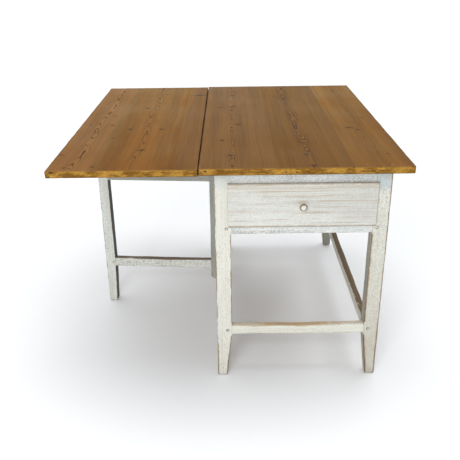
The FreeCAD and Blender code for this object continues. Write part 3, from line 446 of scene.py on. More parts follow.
def waxedPine(look):
    material = openMaterial("waxed_pine_" + look["node"], pineSteps)
    low, high = nodeBox(look["node"])
    place = objectPlace()
    x, y, z = (part(place, axis) for axis in range(3))
    ripple, fibre, band, patch, stain, strokes = (cloud(place, *values) for values in pineClouds.values())

    sway = swing(y, pine["swayRate"], look["seed"] * pine["swaySeed"], pine["swayDetail"], look["sway"])
    dip = swing(y, look["waveRate"], look["seed"] * pine["waveSeed"], pine["waveDetail"], look["wave"])
    across = x - (y * look["lean"] + look["pith"] + sway)
    deep = y * look["climb"] + (look["depth"] - high[2]) + dip + z
    radius = maths("SQRT", across * across + deep * deep) + ripple * look["ripple"]
    cores, halos = [], []
    for knotX, knotY, knotSize, *flat in look["knots"]:
        away = distance(place, (knotX, knotY, high[2]), (*(flat or pine["knotFlat"]), pine["knotDeep"]))
        away = (away + (ripple - noiseMiddle) * pine["ragged"]) / knotSize
        radius += step("push", away) * (knotSize * look["push"])
        cores.append(step("core", away))
        halos.append(step("halo", away))

    years = radius / look["year"]
    yearTone = put("ShaderNodeTexWhiteNoise", {"W": maths("FLOOR", years)}, noise_dimensions="1D")
    yearTone = yearTone * pine["yearSpread"] + pine["yearLeast"]
    inYear = maths("FRACT", years)
    lateEdge = fade(inYear, look["lateFrom"], pine["lateTo"]) * step("yearEnd", inYear)
    contrast = fade(abs(across) / radius, *look["slant"], 1, pine["sideFigure"])
    ringDark = lateEdge * yearTone * (contrast * look["figure"])

    colour = blend(step("warm", patch), look["early"], look["warm"])
    colour = blend(ringDark, colour, wax["late"])
    # painted sheen: the colour is multiplied from a darker, warmer tint at the front to a paler, bluer tint
    # at the back, standing in for the reflection that grows towards the back
    colour = tinted(colour, blend(fade(y, low[1], high[1]), look["nearPaintedSheen"], look["farPaintedSheen"]))
    colour = tinted(colour, (fibre - noiseMiddle) * pine["fibre"] + 1 + (band - noiseMiddle) * pine["band"])
    for stripeX, stripeWide, stripeTone in look["stripes"]:  # broad streaks of heartwood along the board
        offset = abs(x + sway * pine["stripeSway"] - stripeX) + ripple * pine["stripeRagged"]
        core, rim = stripeWide * pine["stripeCore"], stripeWide + pine["stripeEase"]
        colour = tinted(colour, stripeTone, fade(offset, core, rim, pine["stripe"], 0))
    colour = blend(larger(*halos), colour, wax["halo"])
    colour = blend(larger(*cores), colour, wax["knot"])

    # worn arris, golden end grain with darker patches, dark lower line, raw underside
    arris = attribute("arris")
    front = step("front", y, base=low[1])
    rimColour = blend(front, wax["rim"], wax["arris"])
    rubbed = step("rubbed", arris) * step("rubbedPatch", patch) * step("rubbedFront", front)
    colour = blend(rubbed, colour, rimColour)
    for dustX, dustY, dustLength, dustWidth in look["dusty"]:
        away = distance(place, (dustX, dustY, high[2]), (1 / dustLength, 1 / dustWidth, 0))
        specks = step("speck", cloud(place, *pine["specks"])) * step("dust", away)
        colour = blend(specks, colour, wax["dust"])
    edgeWood = blend(step("stain", stain), wax["goldDark"], wax["gold"])
    edgeWood = tinted(edgeWood, step("strokes", strokes))
    edgeWood = tinted(edgeWood, step("lowLine", z, base=low[2]))
    # holes in the end grain are near-black spots of painted shade and dirt, with no hollow in the surface
    for holeX, holeZ, holeSize in look["holes"]:
        away = distance(place, (holeX, -high[1], holeZ), pine["holeFlat"])
        away = (away + (strokes - noiseMiddle) * pine["ragged"]) / holeSize
        edgeWood = blend(step("hole", away), edgeWood, wax["grime"])
    edgeMask = larger(step("edge", abs(y), base=high[1]), step("edge", abs(x), base=look["edge"]))
    colour = blend(edgeMask, colour, edgeWood)
    lightLine = step("light", arris) * step("lightPatch", strokes) * step("lightTop", z, base=high[2])
    colour = blend(lightLine * edgeMask, colour, rimColour)
    if look["seam"] is not None:  # dirt and painted shade: near-black on the side that faces the other half of the top, below its top face
        dirtAndShade = step("seam", abs(x - look["seam"])) * step("seamTop", z, base=high[2])
        colour = blend(dirtAndShade, colour, wax["grime"])
    rawWood = blend(step("raw", fibre), wax["raw"], wax["rawDark"])
    rawWood = blend(ringDark * pine["rawRings"], rawWood, wax["rawDark"])
    under = step("under", z, base=low[2])
    colour = blend(under, colour, rawWood)

    gloss = patch * pine["patchGloss"] + edgeMask * pine["edgeGloss"] + pine["gloss"]
    gloss += under * pine["rawGloss"]
    height = ringDark * pine["ringHeight"] + fibre * pine["fibreHeight"] + strokes * edgeMask
    looks = {"Base Color": colour, "Roughness": gloss, "Specular IOR Level": look["sheen"]}
    dress(looks, height, pine["relief"])
    return material


# Worn paint: brush streaks along the grain, brown grain lines, flecks, a blue-grey older coat,
# wood rubbed bare along the arrises and grime near the floor, with painted shade on faces turned in under the
# table.

paintBase = dict(
    paint=(0.8, 0.79, 0.71), shade=(0.73, 0.72, 0.635), lineColour=(0.5, 0.42, 0.32), lines=0.2,
    lineFrom=0.6, lineScale=(2.2, 110, 110), fleckColour=(0.27, 0.25, 0.21), flecks=0.5, fleckFrom=0.66,
    fleckPatch=0.42, fleckScale=(120, 260, 260), fleckTop=1, wearTop=1, mottle=0.14,
    mottleScale=(170, 300, 300), footTone=1, footWear=0, linePatch=0, edgeLine=0,
    lipShadeColour=(0.22, 0.19, 0.155), blueColour=(0.52, 0.6, 0.62), blue=0, blueFrom=0.66, blueGrain=0.5,
    bluePatch=0, wear=0.002, wearFrom=0.47, shownFrom=0.86, shownTo=1.1, tan=(0.5, 0.385, 0.26),
    tanAmount=0.75, woodLight=(0.4, 0.27, 0.16), woodDark=(0.2, 0.13, 0.078), rimLine=0, rimAt=0.0042,
    rimWide=0.0016, bands=[], grimeTop=0.34, grime=0.2, grimeColour=(0.56, 0.51, 0.4), sheen=0.22,
    # painted shade: the grey that faces turned in under the table are darkened towards
    paintedShadeColour=(0.385, 0.39, 0.375))
paintClouds = dict(  # scale along the bar and across it, detail, roughness
    streak=((6, 240, 240), 3, 0.6), broad=((3, 11, 11), 3), area=((7, 16, 16), 2),
    chip=((45, 90, 90), 4, 0.65), lengths=((13, 25, 25), 2))
paintDetail = {"lineScale": (5, 0.65), "fleckScale": (2,), "mottleScale": (3, 0.7)}
paintSteps = dict(  # where each smooth step starts and ends, then its values there; lengths in metres
    shade=(0.35, 0.7), blueEdge=(0.022, 0.05), blueGrain=(0.3, 0.65), bluePatch=(0.38, 0.6),
    streak=(0.2, 0.8, 0.91, 1.07), mottle=(0.32, 0.66), paintedShade=(0.2, 0.7, 0.8, 1), line=(0, 0.12, 0),
    linePatch=(0.36, 0.6), bandLines=(0.34, 0.52), fleck=(0, 0.04, 0), fleckPatch=(0, 0.16),
    fleckTop=(0, -0.008), grime=(0.2, 0.7), wear=(-0.1, 0.12, -0.0009), wearTop=(-0.2, 0, 0, -0.0016),
    foot=(0.3, 0.04, 0), thin=(0.0006, -0.0006, 0), rubbed=(0.0002, -0.0007), rim=(0.3, 1),
    rimChip=(0.36, 0.56), band=(0.6, 1), edgeLine=(0.0012, 0.0036), edgeChip=(0.32, 0.52, 0.45, 1),
    wood=(0.36, 0.62))
paintLook = dict(
    raggedArea=0.02, raggedStreak=0.05, mottleRise=0.8, chipReach=2.2, rubbedReach=0.55, gloss=0.45,
    broadGloss=0.2, woodGloss=0.12, lineHeight=0.7, streakHeight=0.5, woodDepth=0.5, relief=(0.0007, 0.4))


def wornPaint(name, **changes):
    look = {**paintBase, **paintLook, **changes}
    material = openMaterial(name, paintSteps)
    grain = attribute("grain", "Vector")
    arris, bare, paintedShade = (attribute(key) for key in ("arris", "bare", "paintedShade"))
    z = part(objectPlace(), 2)
    streak, broad, area, chip, lengths = (cloud(grain, *values) for values in paintClouds.values())
    lines, fleck, speck = (cloud(grain, look[key], *detail) for key, detail in paintDetail.items())

    colour = blend(step("shade", broad), look["paint"], look["shade"])
    ragged = z + streak * look["raggedStreak"] + area * look["raggedArea"]
    blue = step("blueEdge", ragged, base=look["blueFrom"])
    blue *= step("blueGrain", streak, 1 - look["blueGrain"], 1)
    blue *= step("bluePatch", lengths, 1 - look["bluePatch"], 1)
    colour = blend(blue * look["blue"], colour, look["blueColour"])
    colour = tinted(colour, step("streak", streak))
    mottled = 1 - look["mottle"], 1 + look["mottle"] * look["mottleRise"]
    colour = tinted(colour, step("mottle", speck, *mottled))
    # painted light: the paint is lightened towards the floor, below the height grimeTop
    colour = tinted(colour, fade(z, 0, look["grimeTop"], look["footTone"], 1))
    # painted shade: faces turned in under the table are darkened towards a grey, in broad patches
    colour = tinted(colour, look["paintedShadeColour"], paintedShade * step("paintedShade", broad))
    lineMask = step("line", lines, look["lines"], base=look["lineFrom"])
    lineMask *= step("linePatch", lengths, 1 - look["linePatch"], 1)
    for bandLow, bandHigh, amount in look["bands"]:  # heights where the streaks crowd together
        offset = abs(z - (bandLow + bandHigh) / 2) / ((bandHigh - bandLow) / 2)
        lineMask = larger(lineMask, step("band", offset, amount, 0) * step("bandLines", lines))
    colour = blend(lineMask, colour, look["lineColour"])
    fleckMask = step("fleck", fleck, look["flecks"], base=look["fleckFrom"])
    fleckMask *= step("fleckPatch", area, base=look["fleckPatch"])
    fleckMask *= step("fleckTop", z, base=look["fleckTop"])
    colour = blend(fleckMask, colour, look["fleckColour"])
    grime = fade(z, look["grimeTop"], 0) * step("grime", area) * look["grime"]
    colour = blend(grime, colour, look["grimeColour"])

    # worn arrises come in lengths: a tan line of thin paint with bare wood along its middle
    reach = step("wear", lengths, look["wear"], base=look["wearFrom"])
    reach = reach + step("wearTop", z, base=look["wearTop"]) + step("foot", z, look["footWear"])
    reach += (chip - noiseMiddle) * (look["wear"] * look["chipReach"])
    thin = step("thin", arris - reach, look["tanAmount"])
    rubbed = step("rubbed", arris - reach * look["rubbedReach"])
    if look["rimLine"]:
        rim = step("rim", abs(arris - look["rimAt"]) / look["rimWide"], look["rimLine"], 0)
        thin = larger(thin, rim * step("rimChip", chip))
    colour = blend(thin, colour, look["tan"])
    if look["edgeLine"]:  # painted shade with dirt: a dark line on the outermost millimetres of a lip, where it meets the frame
        dirtAndShade = step("edgeLine", arris, look["edgeLine"], 0) * step("edgeChip", chip)
        colour = blend(dirtAndShade, colour, look["lipShadeColour"])
    woodMask = larger(rubbed, fade(bare + chip, look["shownFrom"], look["shownTo"]))
    wood = blend(step("wood", lines), look["woodLight"], look["woodDark"])
    colour = blend(woodMask, colour, wood)

    gloss = broad * look["broadGloss"] + look["gloss"] + woodMask * look["woodGloss"]
    height = lines * look["lineHeight"] + streak * look["streakHeight"]
    height -= woodMask * look["woodDepth"] + fleckMask
    looks = {"Base Color": colour, "Roughness": gloss, "Specular IOR Level": look["sheen"]}
    dress(looks, height, look["relief"])
    return material


# Unfinished pine for what the drawer runs on and its box, with the grain along one axis of the table.

raw = dict(
    light=(0.55, 0.38, 0.21), dark=(0.3, 0.18, 0.09), dust=(0.33, 0.25, 0.17), years=9,
    fibres={"x": ((4, 130, 130), 4, 0.6), "y": ((130, 4, 130), 4, 0.6)},
    rings={"x": ((1.5, 30, 30), 2), "y": ((30, 1.5, 30), 2)}, clouds=((9, 9, 9), 3), gloss=0.6,
    fibreGloss=0.2, relief=(0.0006, 0.4))
rawSteps = dict(late=(0.5, 0.95, 0, 0.7), fibre=(0.45, 0.75, 0, 0.5), dust=(0.5, 0.75, 0, 0.4))


def rawPine(name, axis):
    material = openMaterial(name, rawSteps)
    place = objectPlace()
    fibre = cloud(place, *raw["fibres"][axis])
    inYear = maths("FRACT", cloud(place, *raw["rings"][axis]) * raw["years"])
    colour = blend(step("late", inYear), raw["light"], raw["dark"])
    colour = blend(step("fibre", fibre), colour, raw["dark"])
    colour = blend(step("dust", cloud(place, *raw["clouds"])), colour, raw["dust"])
    gloss = fibre * raw["fibreGloss"] + raw["gloss"]
    dress({"Base Color": colour, "Roughness": gloss}, fibre, raw["relief"])
    return material


# Dark forged iron: brown rust in patches over a grey skin.

iron = dict(
    skin=(0.055, 0.05, 0.046), rust=(0.13, 0.06, 0.03), pits=((420, 420, 420), 4, 0.6),
    patches=((110, 110, 110), 4, 0.6), metal=0.85, rustMetal=-0.5, gloss=0.42, rustGloss=0.25,
    relief=(0.0004, 0.5))
ironSteps = dict(rust=(0.45, 0.65))


def darkIron():
    material = openMaterial("dark_iron", ironSteps)
    place = objectPlace()
    rust = step("rust", cloud(place, *iron["patches"]))
    looks = {
        "Base Color": blend(rust, iron["skin"], iron["rust"]),
        "Metallic": rust * iron["rustMetal"] + iron["metal"],
        "Roughness": rust * iron["rustGloss"] + iron["gloss"]}
    dress(looks, cloud(place, *iron["pits"]), iron["relief"])
    return material


# Top boards: bars that run from front to back, rounded where the top's edge shows and tight where glued.

boardBase = dict(
    step=0.008, sides=(3, 25), planed=0.00022, knocks=9, bite=0.0022, endWear=True, shownArris=0.002,
    gluedArris=0.0003, endRound=0.003, cornerRound=0.007, slant=(0.2, 0.75), lateFrom=0.55,
    edge=float(cadBox[1][0]), lean=0, sway=0.05, climb=0.02, waveRate=4, wave=0.03, ripple=0.0022,
    year=0.0026, push=0.15, nearPaintedSheen=(0.89, 0.82, 0.69), farPaintedSheen=(1.11, 1.16, 1.27), dusty=[], stripes=[],
    sheen=0.03, seam=None, seamClose=0.0011, seamReach=0.006, holes=[])
boards = [  # knots: x, y, size, own stretch; stripes: x, half width, tint; holes: x, z, size
    dict(node="leaf_board_outer", shows=(True, False), seed=11, pith=-0.452, cornerRound=0.0045,
         nearPaintedSheen=(0.85, 0.8, 0.71), farPaintedSheen=(1.15, 1.2, 1.28), knots=[(-0.511, -0.412, 0.006),
         (-0.475, -0.535, 0.006), (-0.396, -0.529, 0.006), (-0.489, -0.065, 0.005), (-0.414, -0.069, 0.007),
         (-0.425, 0.06, 0.006), (-0.383, -0.234, 0.006)], stripes=[(-0.388, 0.022, (0.8, 0.86, 0.8)),
         (-0.5, 0.02, (0.95, 0.93, 0.96))], holes=[(-0.505, 0.744, 0.0055), (-0.515, 0.731, 0.0045)],
         depth=0.03, climb=0.014, wave=0.022, figure=1, year=0.0038, early=(0.266, 0.134, 0.043),
         warm=(0.248, 0.119, 0.034)),
    dict(node="leaf_board_middle", shows=(False, False), seed=23, pith=-0.285,
         knots=[(-0.316, 0.179, 0.009), (-0.342, -0.125, 0.009), (-0.235, -0.131, 0.008),
         (-0.273, -0.372, 0.009), (-0.26, 0.427, 0.007)], depth=0.027, climb=0.014, wave=0.02,
         year=0.0038, figure=0.95, stripes=[(-0.365, 0.018, (0.86, 0.9, 0.84)),
         (-0.172, 0.014, (0.81, 0.76, 0.62)), (-0.2, 0.008, (0.93, 0.9, 0.84))],
         early=(0.237, 0.118, 0.024), warm=(0.227, 0.101, 0.019)),
    dict(node="leaf_board_inner", shows=(False, True), seed=37, pith=-0.06,
         knots=[(-0.121, 0.402, 0.0105, 0.28, 1.1)], depth=0.07, figure=0.5,
         holes=[(-0.101, 0.731, 0.0025)], early=(0.189, 0.092, 0.025), warm=(0.186, 0.088, 0.02)),
    dict(node="fixed_board_left", shows=(True, False), seed=41, pith=0.008, knots=[(0.013, 0.382, 0.008),
         (-0.035, 0.171, 0.007), (0.02, 0.184, 0.006), (0.031, -0.086, 0.008), (-0.026, -0.281, 0.008),
         (0.002, -0.441, 0.009)], depth=0.017, climb=0, sway=0.01, wave=0.024, waveRate=6, figure=1.1,
         year=0.004, ripple=0.0035, slant=(0.3, 0.85), lateFrom=0.48, holes=[(-0.071, 0.743, 0.0045)],
         early=(0.205, 0.105, 0.031), warm=(0.198, 0.097, 0.027)),
    dict(node="fixed_board_middle", shows=(False, False), seed=53, pith=0.228,
         knots=[(0.231, -0.316, 0.006), (0.229, -0.441, 0.008), (0.238, -0.544, 0.009)], lean=-0.02,
         depth=0.018, climb=0.004, wave=0.026, waveRate=6.5, figure=1.6, sway=0.03, year=0.0044,
         ripple=0.0045, slant=(0.35, 0.85), lateFrom=0.38, stripes=[(0.335, 0.02, (0.88, 0.89, 0.88)),
         (0.3, 0.007, (0.9, 0.9, 0.88))], holes=[(0.157, 0.738, 0.003), (0.188, 0.737, 0.003)],
         early=(0.18, 0.087, 0.017), warm=(0.176, 0.082, 0.014)),
    dict(node="fixed_board_right", shows=(False, True), seed=67, pith=0.44, knots=[(0.407, -0.145, 0.01),
         (0.432, -0.172, 0.008), (0.443, 0.453, 0.007), (0.477, -0.012, 0.006), (0.471, -0.442, 0.005)],
         depth=0.08, figure=0.35, dusty=[(0.425, -0.546, 0.075, 0.022)], early=(0.214, 0.106, 0.021),
         warm=(0.209, 0.094, 0.016))]

for changes in boards:
    look = {**boardBase, **changes}
    low, high = nodeBox(look["node"])
    leftRound, rightRound = (look["shownArris"] if shown else look["gluedArris"] for shown in look["shows"])
    look["arris"] = (rightRound, rightRound, leftRound, leftRound)
    atSeam = look["node"] in ("leaf_board_inner", "fixed_board_left")
    glued = [corner for shown, pair in zip(look["shows"], ((2, 3), (0, 1))) if not shown for corner in pair]
    look["sheltered"] = [(corner, low[1], high[1]) for corner in glued]
    cornerRound = look["gluedArris"] if atSeam else look["cornerRound"]
    leftEnd, rightEnd = (cornerRound if shown else look["gluedArris"] for shown in look["shows"])
    look["ends"] = ((look["endRound"], rightEnd, look["endRound"], leftEnd),) * 2
    points, *rest = barSurface(look, (low[1], high[1]), [(low[2], low[0])] * 2, [(high[2], high[0])] * 2)
    if atSeam:  # the two facing sides lean together towards the bottom, so that no light comes up there
        onLeaf = nodes[look["node"]]["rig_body"] == "leaf"
        look["seam"] = float(high[0] if onLeaf else low[0])
        down = (high[2] - points[..., 1]) / (high[2] - low[2])
        near = np.clip(1 - np.abs(points[..., 2] - look["seam"]) / look["seamReach"], 0, 1)
        points[..., 2] += (1 if onLeaf else -1) * look["seamClose"] * down.clip(0, 1) * near
    addPiece(look["node"], "_worn", "y", [(points, *rest)], waxedPine(look), look["seed"])
print("top boards made:", len(boards))


# Legs: upright bars, tapered below the stretchers on their inner faces, feet rubbed round.

legLook = dict(
    step=0.007, sides=(5, 5), planed=0.0004, knocks=12, bite=0.0028, endWear=True,
    arris=(0.0022,) * 4, ends=((0.006,) * 4, (0.0006,) * 4), rimWear=0.006, foot=0.031)
legPaint = wornPaint("worn_paint_legs",
    blue=0.42, blueFrom=0.668, grime=0, wearFrom=0.37, wear=0.0025, wearTop=0.72, footTone=1.13,
    flecks=0.6, fleckFrom=0.63, tan=(0.42, 0.31, 0.195), mottle=0.065, footWear=0.0012)
legPaintRight = wornPaint("worn_paint_leg_right",
    blue=0.9, blueFrom=0.664, mottle=0.13, footWear=0.0022, flecks=0.6, fleckFrom=0.62,
    paint=(0.765, 0.755, 0.675), shade=(0.7, 0.69, 0.6), grime=0.9, grimeTop=0.45, wear=0.0037,
    wearFrom=0.33, tan=(0.42, 0.31, 0.2), woodLight=(0.3, 0.2, 0.12), woodDark=(0.13, 0.085, 0.05))
railHeights = heights("drawer_rail")[0], heights("top_rail")[1]
stretcherHeights = heights("stretcher_front")
legs = [  # per side, how far painted shade greys it, on the faces turned in under the table; corners: level with a rail, level with a stretcher
    dict(node="leg_front_left", paintedShade=(0.8, 0.8, 0, 0), corners=([3], [3]), seed=100),
    dict(node="leg_front_right", paintedShade=(0, 0.8, 0.8, 0), corners=([2, 0], [2, 1]), seed=150,
         paint=legPaintRight),
    dict(node="leg_back_left", paintedShade=(0.8, 0, 0, 1), corners=([0], [0]), seed=200),
    dict(node="leg_back_right", paintedShade=(0, 0, 0.9, 1), corners=([1, 3], [1, 2]), seed=250)]
middleX = (nodeBox("leg_front_left")[0][0] + nodeBox("leg_front_right")[1][0]) / 2
middleY = 0


def sheltered(corners, heights):
    return [(corner, *span) for group, span in zip(corners, heights) for corner in group]


def taperedLeg(look, centres):  # below the stretchers it narrows on each side that faces a centre
    low, high = nodeBox(look["node"])
    lows, highs = np.repeat([low[:2]], 3, 0), np.repeat([high[:2]], 3, 0)
    for side, centre in enumerate(centres):
        if high[side] < centre:
            highs[0, side] = low[side] + look["foot"]
        else:
            lows[0, side] = high[side] - look["foot"]
    return barSurface(look, (low[2], stretcherHeights[0], high[2]), lows, highs)


for changes in legs:
    look = {**legLook, "paint": legPaint, **changes}
    look["sheltered"] = sheltered(look["corners"], (railHeights, stretcherHeights))
    addPiece(look["node"], "_worn", "z", [taperedLeg(look, (middleX, middleY))], look["paint"], look["seed"])
print("legs made")


# Rails, aprons and stretchers: bars between two legs with a tenon at each end.

railPaint = wornPaint("worn_paint_rails",
    blue=0.5, blueFrom=0.3, blueGrain=0.45, bluePatch=0.75, flecks=0.7, fleckFrom=0.57, mottle=0.2,
    fleckPatch=0.45, fleckScale=(330, 640, 640), wear=0.0016, grime=0, paint=(0.86, 0.875, 0.845),
    shade=(0.8, 0.83, 0.815))
drawerRailPaint = wornPaint("worn_paint_drawer_rail",
    blue=0.45, blueFrom=0.3, blueGrain=0.45, bluePatch=1, flecks=0.85, fleckFrom=0.53, mottle=0.16,
    fleckScale=(260, 520, 520), fleckTop=0.537, wear=0.0016, grime=0, paint=(0.81, 0.81, 0.765),
    shade=(0.76, 0.765, 0.73))
apronPaint = wornPaint("worn_paint_aprons", lines=0.25, grime=0, blue=0.25, blueFrom=0.5)
stretcherPaint = wornPaint("worn_paint_stretchers",
    wear=0.0022, grime=0.3, woodLight=(0.21, 0.149, 0.088), woodDark=(0.126, 0.09, 0.052))
gateBarPaint = wornPaint("worn_paint_gate_stretcher",
    wear=0.0022, grime=0.1, paint=(0.81, 0.82, 0.765), shade=(0.75, 0.76, 0.7), flecks=0.75,
    fleckFrom=0.6, mottle=0.22, woodLight=(0.3, 0.25, 0.19), woodDark=(0.19, 0.15, 0.11))
frontPaint = wornPaint("worn_paint_front_stretcher",
    wear=0.003, grime=0, mottle=0.08, paint=(0.86, 0.845, 0.75), shade=(0.8, 0.785, 0.685),
    woodLight=(0.87, 0.69, 0.455), woodDark=(0.66, 0.49, 0.3), shownFrom=0.78, shownTo=1.35)
railBase = dict(
    step=0.009, sides=(3, 5), planed=0.0003, knocks=6, bite=0.0015, endWear=False, arris=(0.0015,) * 4,
    ends=((0.0003,) * 4,) * 2, tenonThickness=0.009, tenonShoulder=0.007, axis="x", stations=13,
    hollow=0, paint=stretcherPaint, firstSeed=400, seedStep=50)
worn = dict(ends=0.42, middle=0.85)  # how far feet have rubbed a stretcher's top
unpainted = dict(ends=1, middle=1)
front, back = ("leg_front_left", "leg_front_right"), ("leg_back_left", "leg_back_right")
left, right = ("leg_front_left", "leg_back_left"), ("leg_front_right", "leg_back_right")
inGate = ("gate_leg", "gate_stile")
lengthways = dict(axis="y", sides=(5, 3))
rails = [
    dict(node="top_rail", between=front, paint=railPaint),
    dict(node="drawer_rail", between=front, paint=drawerRailPaint),
    dict(node="apron_back", between=back, paint=apronPaint, bare=[dict(unpainted, side=2)]),
    dict(lengthways, node="apron_left", between=left, paint=apronPaint, bare=[dict(unpainted, side=1)]),
    dict(lengthways, node="apron_right", between=right, paint=apronPaint, bare=[dict(unpainted, side=3)]),
    dict(node="stretcher_front", between=front, paint=frontPaint, bare=[dict(worn, side=1)], hollow=0.003,
         arris=(0.003, 0.005, 0.0075, 0.004)),
    dict(node="stretcher_back", between=back, bare=[dict(worn, side=1)], hollow=0.0015,
         arris=(0.005, 0.005, 0.004, 0.004)),
    dict(lengthways, node="stretcher_left", between=left, bare=[dict(worn, side=0)], hollow=0.001,
         arris=(0.005, 0.004, 0.004, 0.005)),
    dict(lengthways, node="stretcher_right", between=right, bare=[dict(side=0, ends=0.6, middle=0.9)],
         hollow=0.0015, arris=(0.005, 0.004, 0.004, 0.005)),
    # painted shade all round the gate's top rail, under the leaf
    dict(node="gate_top_rail", between=inGate, paint=apronPaint, paintedShade=(0.72,) * 4),
    dict(node="gate_stretcher", between=inGate, paint=gateBarPaint, hollow=0.001, arris=(0.004,) * 4,
         bare=[dict(side=1, ends=0.6, middle=0.8)])]

for number, changes in enumerate(rails):
    look = {**railBase, "seed": railBase["firstSeed"] + railBase["seedStep"] * number, **changes}
    along, *across = axisOrder[look["axis"]]
    low, high = nodeBox(look["node"])
    start, end = nodeBox(look["between"][0])[1][along], nodeBox(look["between"][1])[0][along]
    upright = across.index(2)  # which way across is up
    tenonHalf = np.full(2, look["tenonThickness"] / 2)
    tenonHalf[upright] = (high[2] - low[2]) / 2 - look["tenonShoulder"]
    look["tenon"] = {"half": tenonHalf, "length": start - low[along]}
    lows, highs = (np.repeat([corner[across]], look["stations"], 0) for corner in (low, high))
    highs[:, upright] -= look["hollow"] * np.sin(np.pi * np.linspace(0, 1, look["stations"])) ** 2
    bar = barSurface(look, np.linspace(start, end, look["stations"]), lows, highs)
    addPiece(look["node"], "_worn", look["axis"], [bar], look["paint"], look["seed"])
print("rails, aprons and stretchers made:", len(rails))


# Gate: an outer leg tapered on its inner face, and a hinge stile whose lower end is a rounded horn.

gateHeights = heights("gate_top_rail"), stretcherHeights
gateLegLook = dict(
    # painted shade: the inner side (0) of the gate leg shows the gate paint's near-black grey wood colour
    legLook, node="gate_leg", seed=1000, foot=0.03, bare=[dict(unpainted, side=0)],
    sheltered=sheltered(([3], [3]), gateHeights))
gateStileLook = dict(
    # painted shade on every side of the stile, which stands in under the table
    legLook, node="gate_stile", seed=1050, rimWear=0.004, sides=(3, 5), paintedShade=(0.9, 0.5, 0.5, 0.8),
    ends=((0.0145, 0.002, 0.0145, 0.002), (0.0006,) * 4), sheltered=sheltered(([2], [2]), gateHeights))
# painted shade: its wood colours are a near-black grey, shown on the gate leg's inner side and at worn
# arrises on the gate
gatePaint = wornPaint("worn_paint_gate",
    lines=0.25, flecks=0.7, fleckFrom=0.61, mottle=0.17, footTone=1.09, footWear=0.0018,
    paint=(0.79, 0.805, 0.755), shade=(0.73, 0.745, 0.69), woodLight=(0.125, 0.118, 0.105),
    woodDark=(0.072, 0.068, 0.061))

low, high = nodeBox("gate_stile")
gateStile = barSurface(gateStileLook, (low[2], high[2]), [low[:2]] * 2, [high[:2]] * 2)
for look, bar in ((gateLegLook, taperedLeg(gateLegLook, (middleX,))), (gateStileLook, gateStile)):
    addPiece(look["node"], "_worn", "z", [bar], gatePaint, look["seed"])
print("gate made")


# Drawer front: a lipped board with rounded edges, and the thicker part behind it that the tails enter.

lipLook = dict(
    step=0.008, sides=(3, 15), planed=0.0003, knocks=8, bite=0.0008, endWear=True, seed=1200,
    arris=(0.0006, 0.0006, 0.0052, 0.0052), ends=((0.0006, 0.004, 0.0052, 0.004),) * 2, thickness=0.009)
tongueLook = dict(
    step=0.02, sides=(3, 5), planed=0, knocks=0, bite=0, endWear=False, seed=1250, arris=(0.0006,) * 4,
    ends=((0.0006,) * 4,) * 2, shy=0.00015, bare=[dict(unpainted, side=side) for side in range(4)])
drawerPaint = wornPaint("worn_paint_drawer",
    paint=(0.73, 0.735, 0.68), shade=(0.655, 0.66, 0.61), lines=0.9, lineFrom=0.5, linePatch=0.75,
    # a dark line round the lip's rim is painted shade where the lip meets the frame
    mottle=0.09, edgeLine=0.7, lineScale=(3.2, 200, 200), lineColour=(0.53, 0.44, 0.345), grime=0,
    wear=0.0008, flecks=0.15, rimLine=0.9, bands=[(0.668, 0.683, 0.5), (0.5485, 0.5545, 0.7)])

low, high = nodeBox("drawer_front")
sideLow, sideHigh = nodeBox("drawer_side_left")[0], nodeBox("drawer_side_right")[1]
lipBack, shy = low[1] + lipLook["thickness"], tongueLook["shy"]
lip = barSurface(lipLook, (low[0], high[0]), [(low[1], low[2])] * 2, [(lipBack, high[2])] * 2)
tongueSpan, tongueLow = (sideLow[0] + shy, sideHigh[0] - shy), (lipBack - shy, sideLow[2])
tongue = barSurface(tongueLook, tongueSpan, [tongueLow] * 2, [(high[1], sideHigh[2])] * 2)
addPiece("drawer_front", "_worn", "x", [lip, tongue], drawerPaint, lipLook["seed"])
print("drawer front made")


# Turned surface: a profile of (distance along the axis, radius) carried round it, a little out of round.
def turnedSurface(along, radius, centre, look, seed):
    angle = np.arange(look["spokes"]) * fullTurn / look["spokes"]
    wobble = 1 + look["roundness"] * wander(np.cos(angle) + 2 * np.sin(angle), seed, look["lumps"])
    points = np.stack(np.broadcast_arrays(
        along[:, None], centre[0] + radius[:, None] * wobble * np.cos(angle),
        centre[1] + radius[:, None] * wobble * np.sin(angle)), -1)
    return points, (np.array([along[0], *centre]), np.array([along[-1], *centre]))


# Knob: a turned shank, a flat base, a neck whose radius grows with a power of its length, a head with a
# quarter round on each side of its rim and a face that falls away with the square of its radius.

knob = dict(
    length=0.02, shank=0.005, shankEase=0.0006, neck=0.006, flared=0.0105, flarePower=2.2, neckStart=0.003,
    headStart=0.0115, head=0.0115, headRound=0.0038, headEase=0.35, headLift=0.0002, headDepth=0.0095,
    dome=0.0007, facePole=0.08, spokes=56, roundness=0.004, lumps=3, seed=5,
    base=((-0.0004, 0.005), (0, 0.008), (0.0006, 0.0085), (0.002, 0.0085), (0.0026, 0.0075)),
    rubbed=((0.0028, 0.0055), (0.9, 0)), neckBare=0.3, grainSeed=7, flareRings=9, rimRings=7, faceRings=6)
knobPaint = wornPaint("worn_paint_knob",
    wear=0, grime=0, lines=0.1, flecks=0.2, shownFrom=0.8, shownTo=1.2, woodLight=(0.34, 0.27, 0.18),
    woodDark=(0.22, 0.17, 0.11))

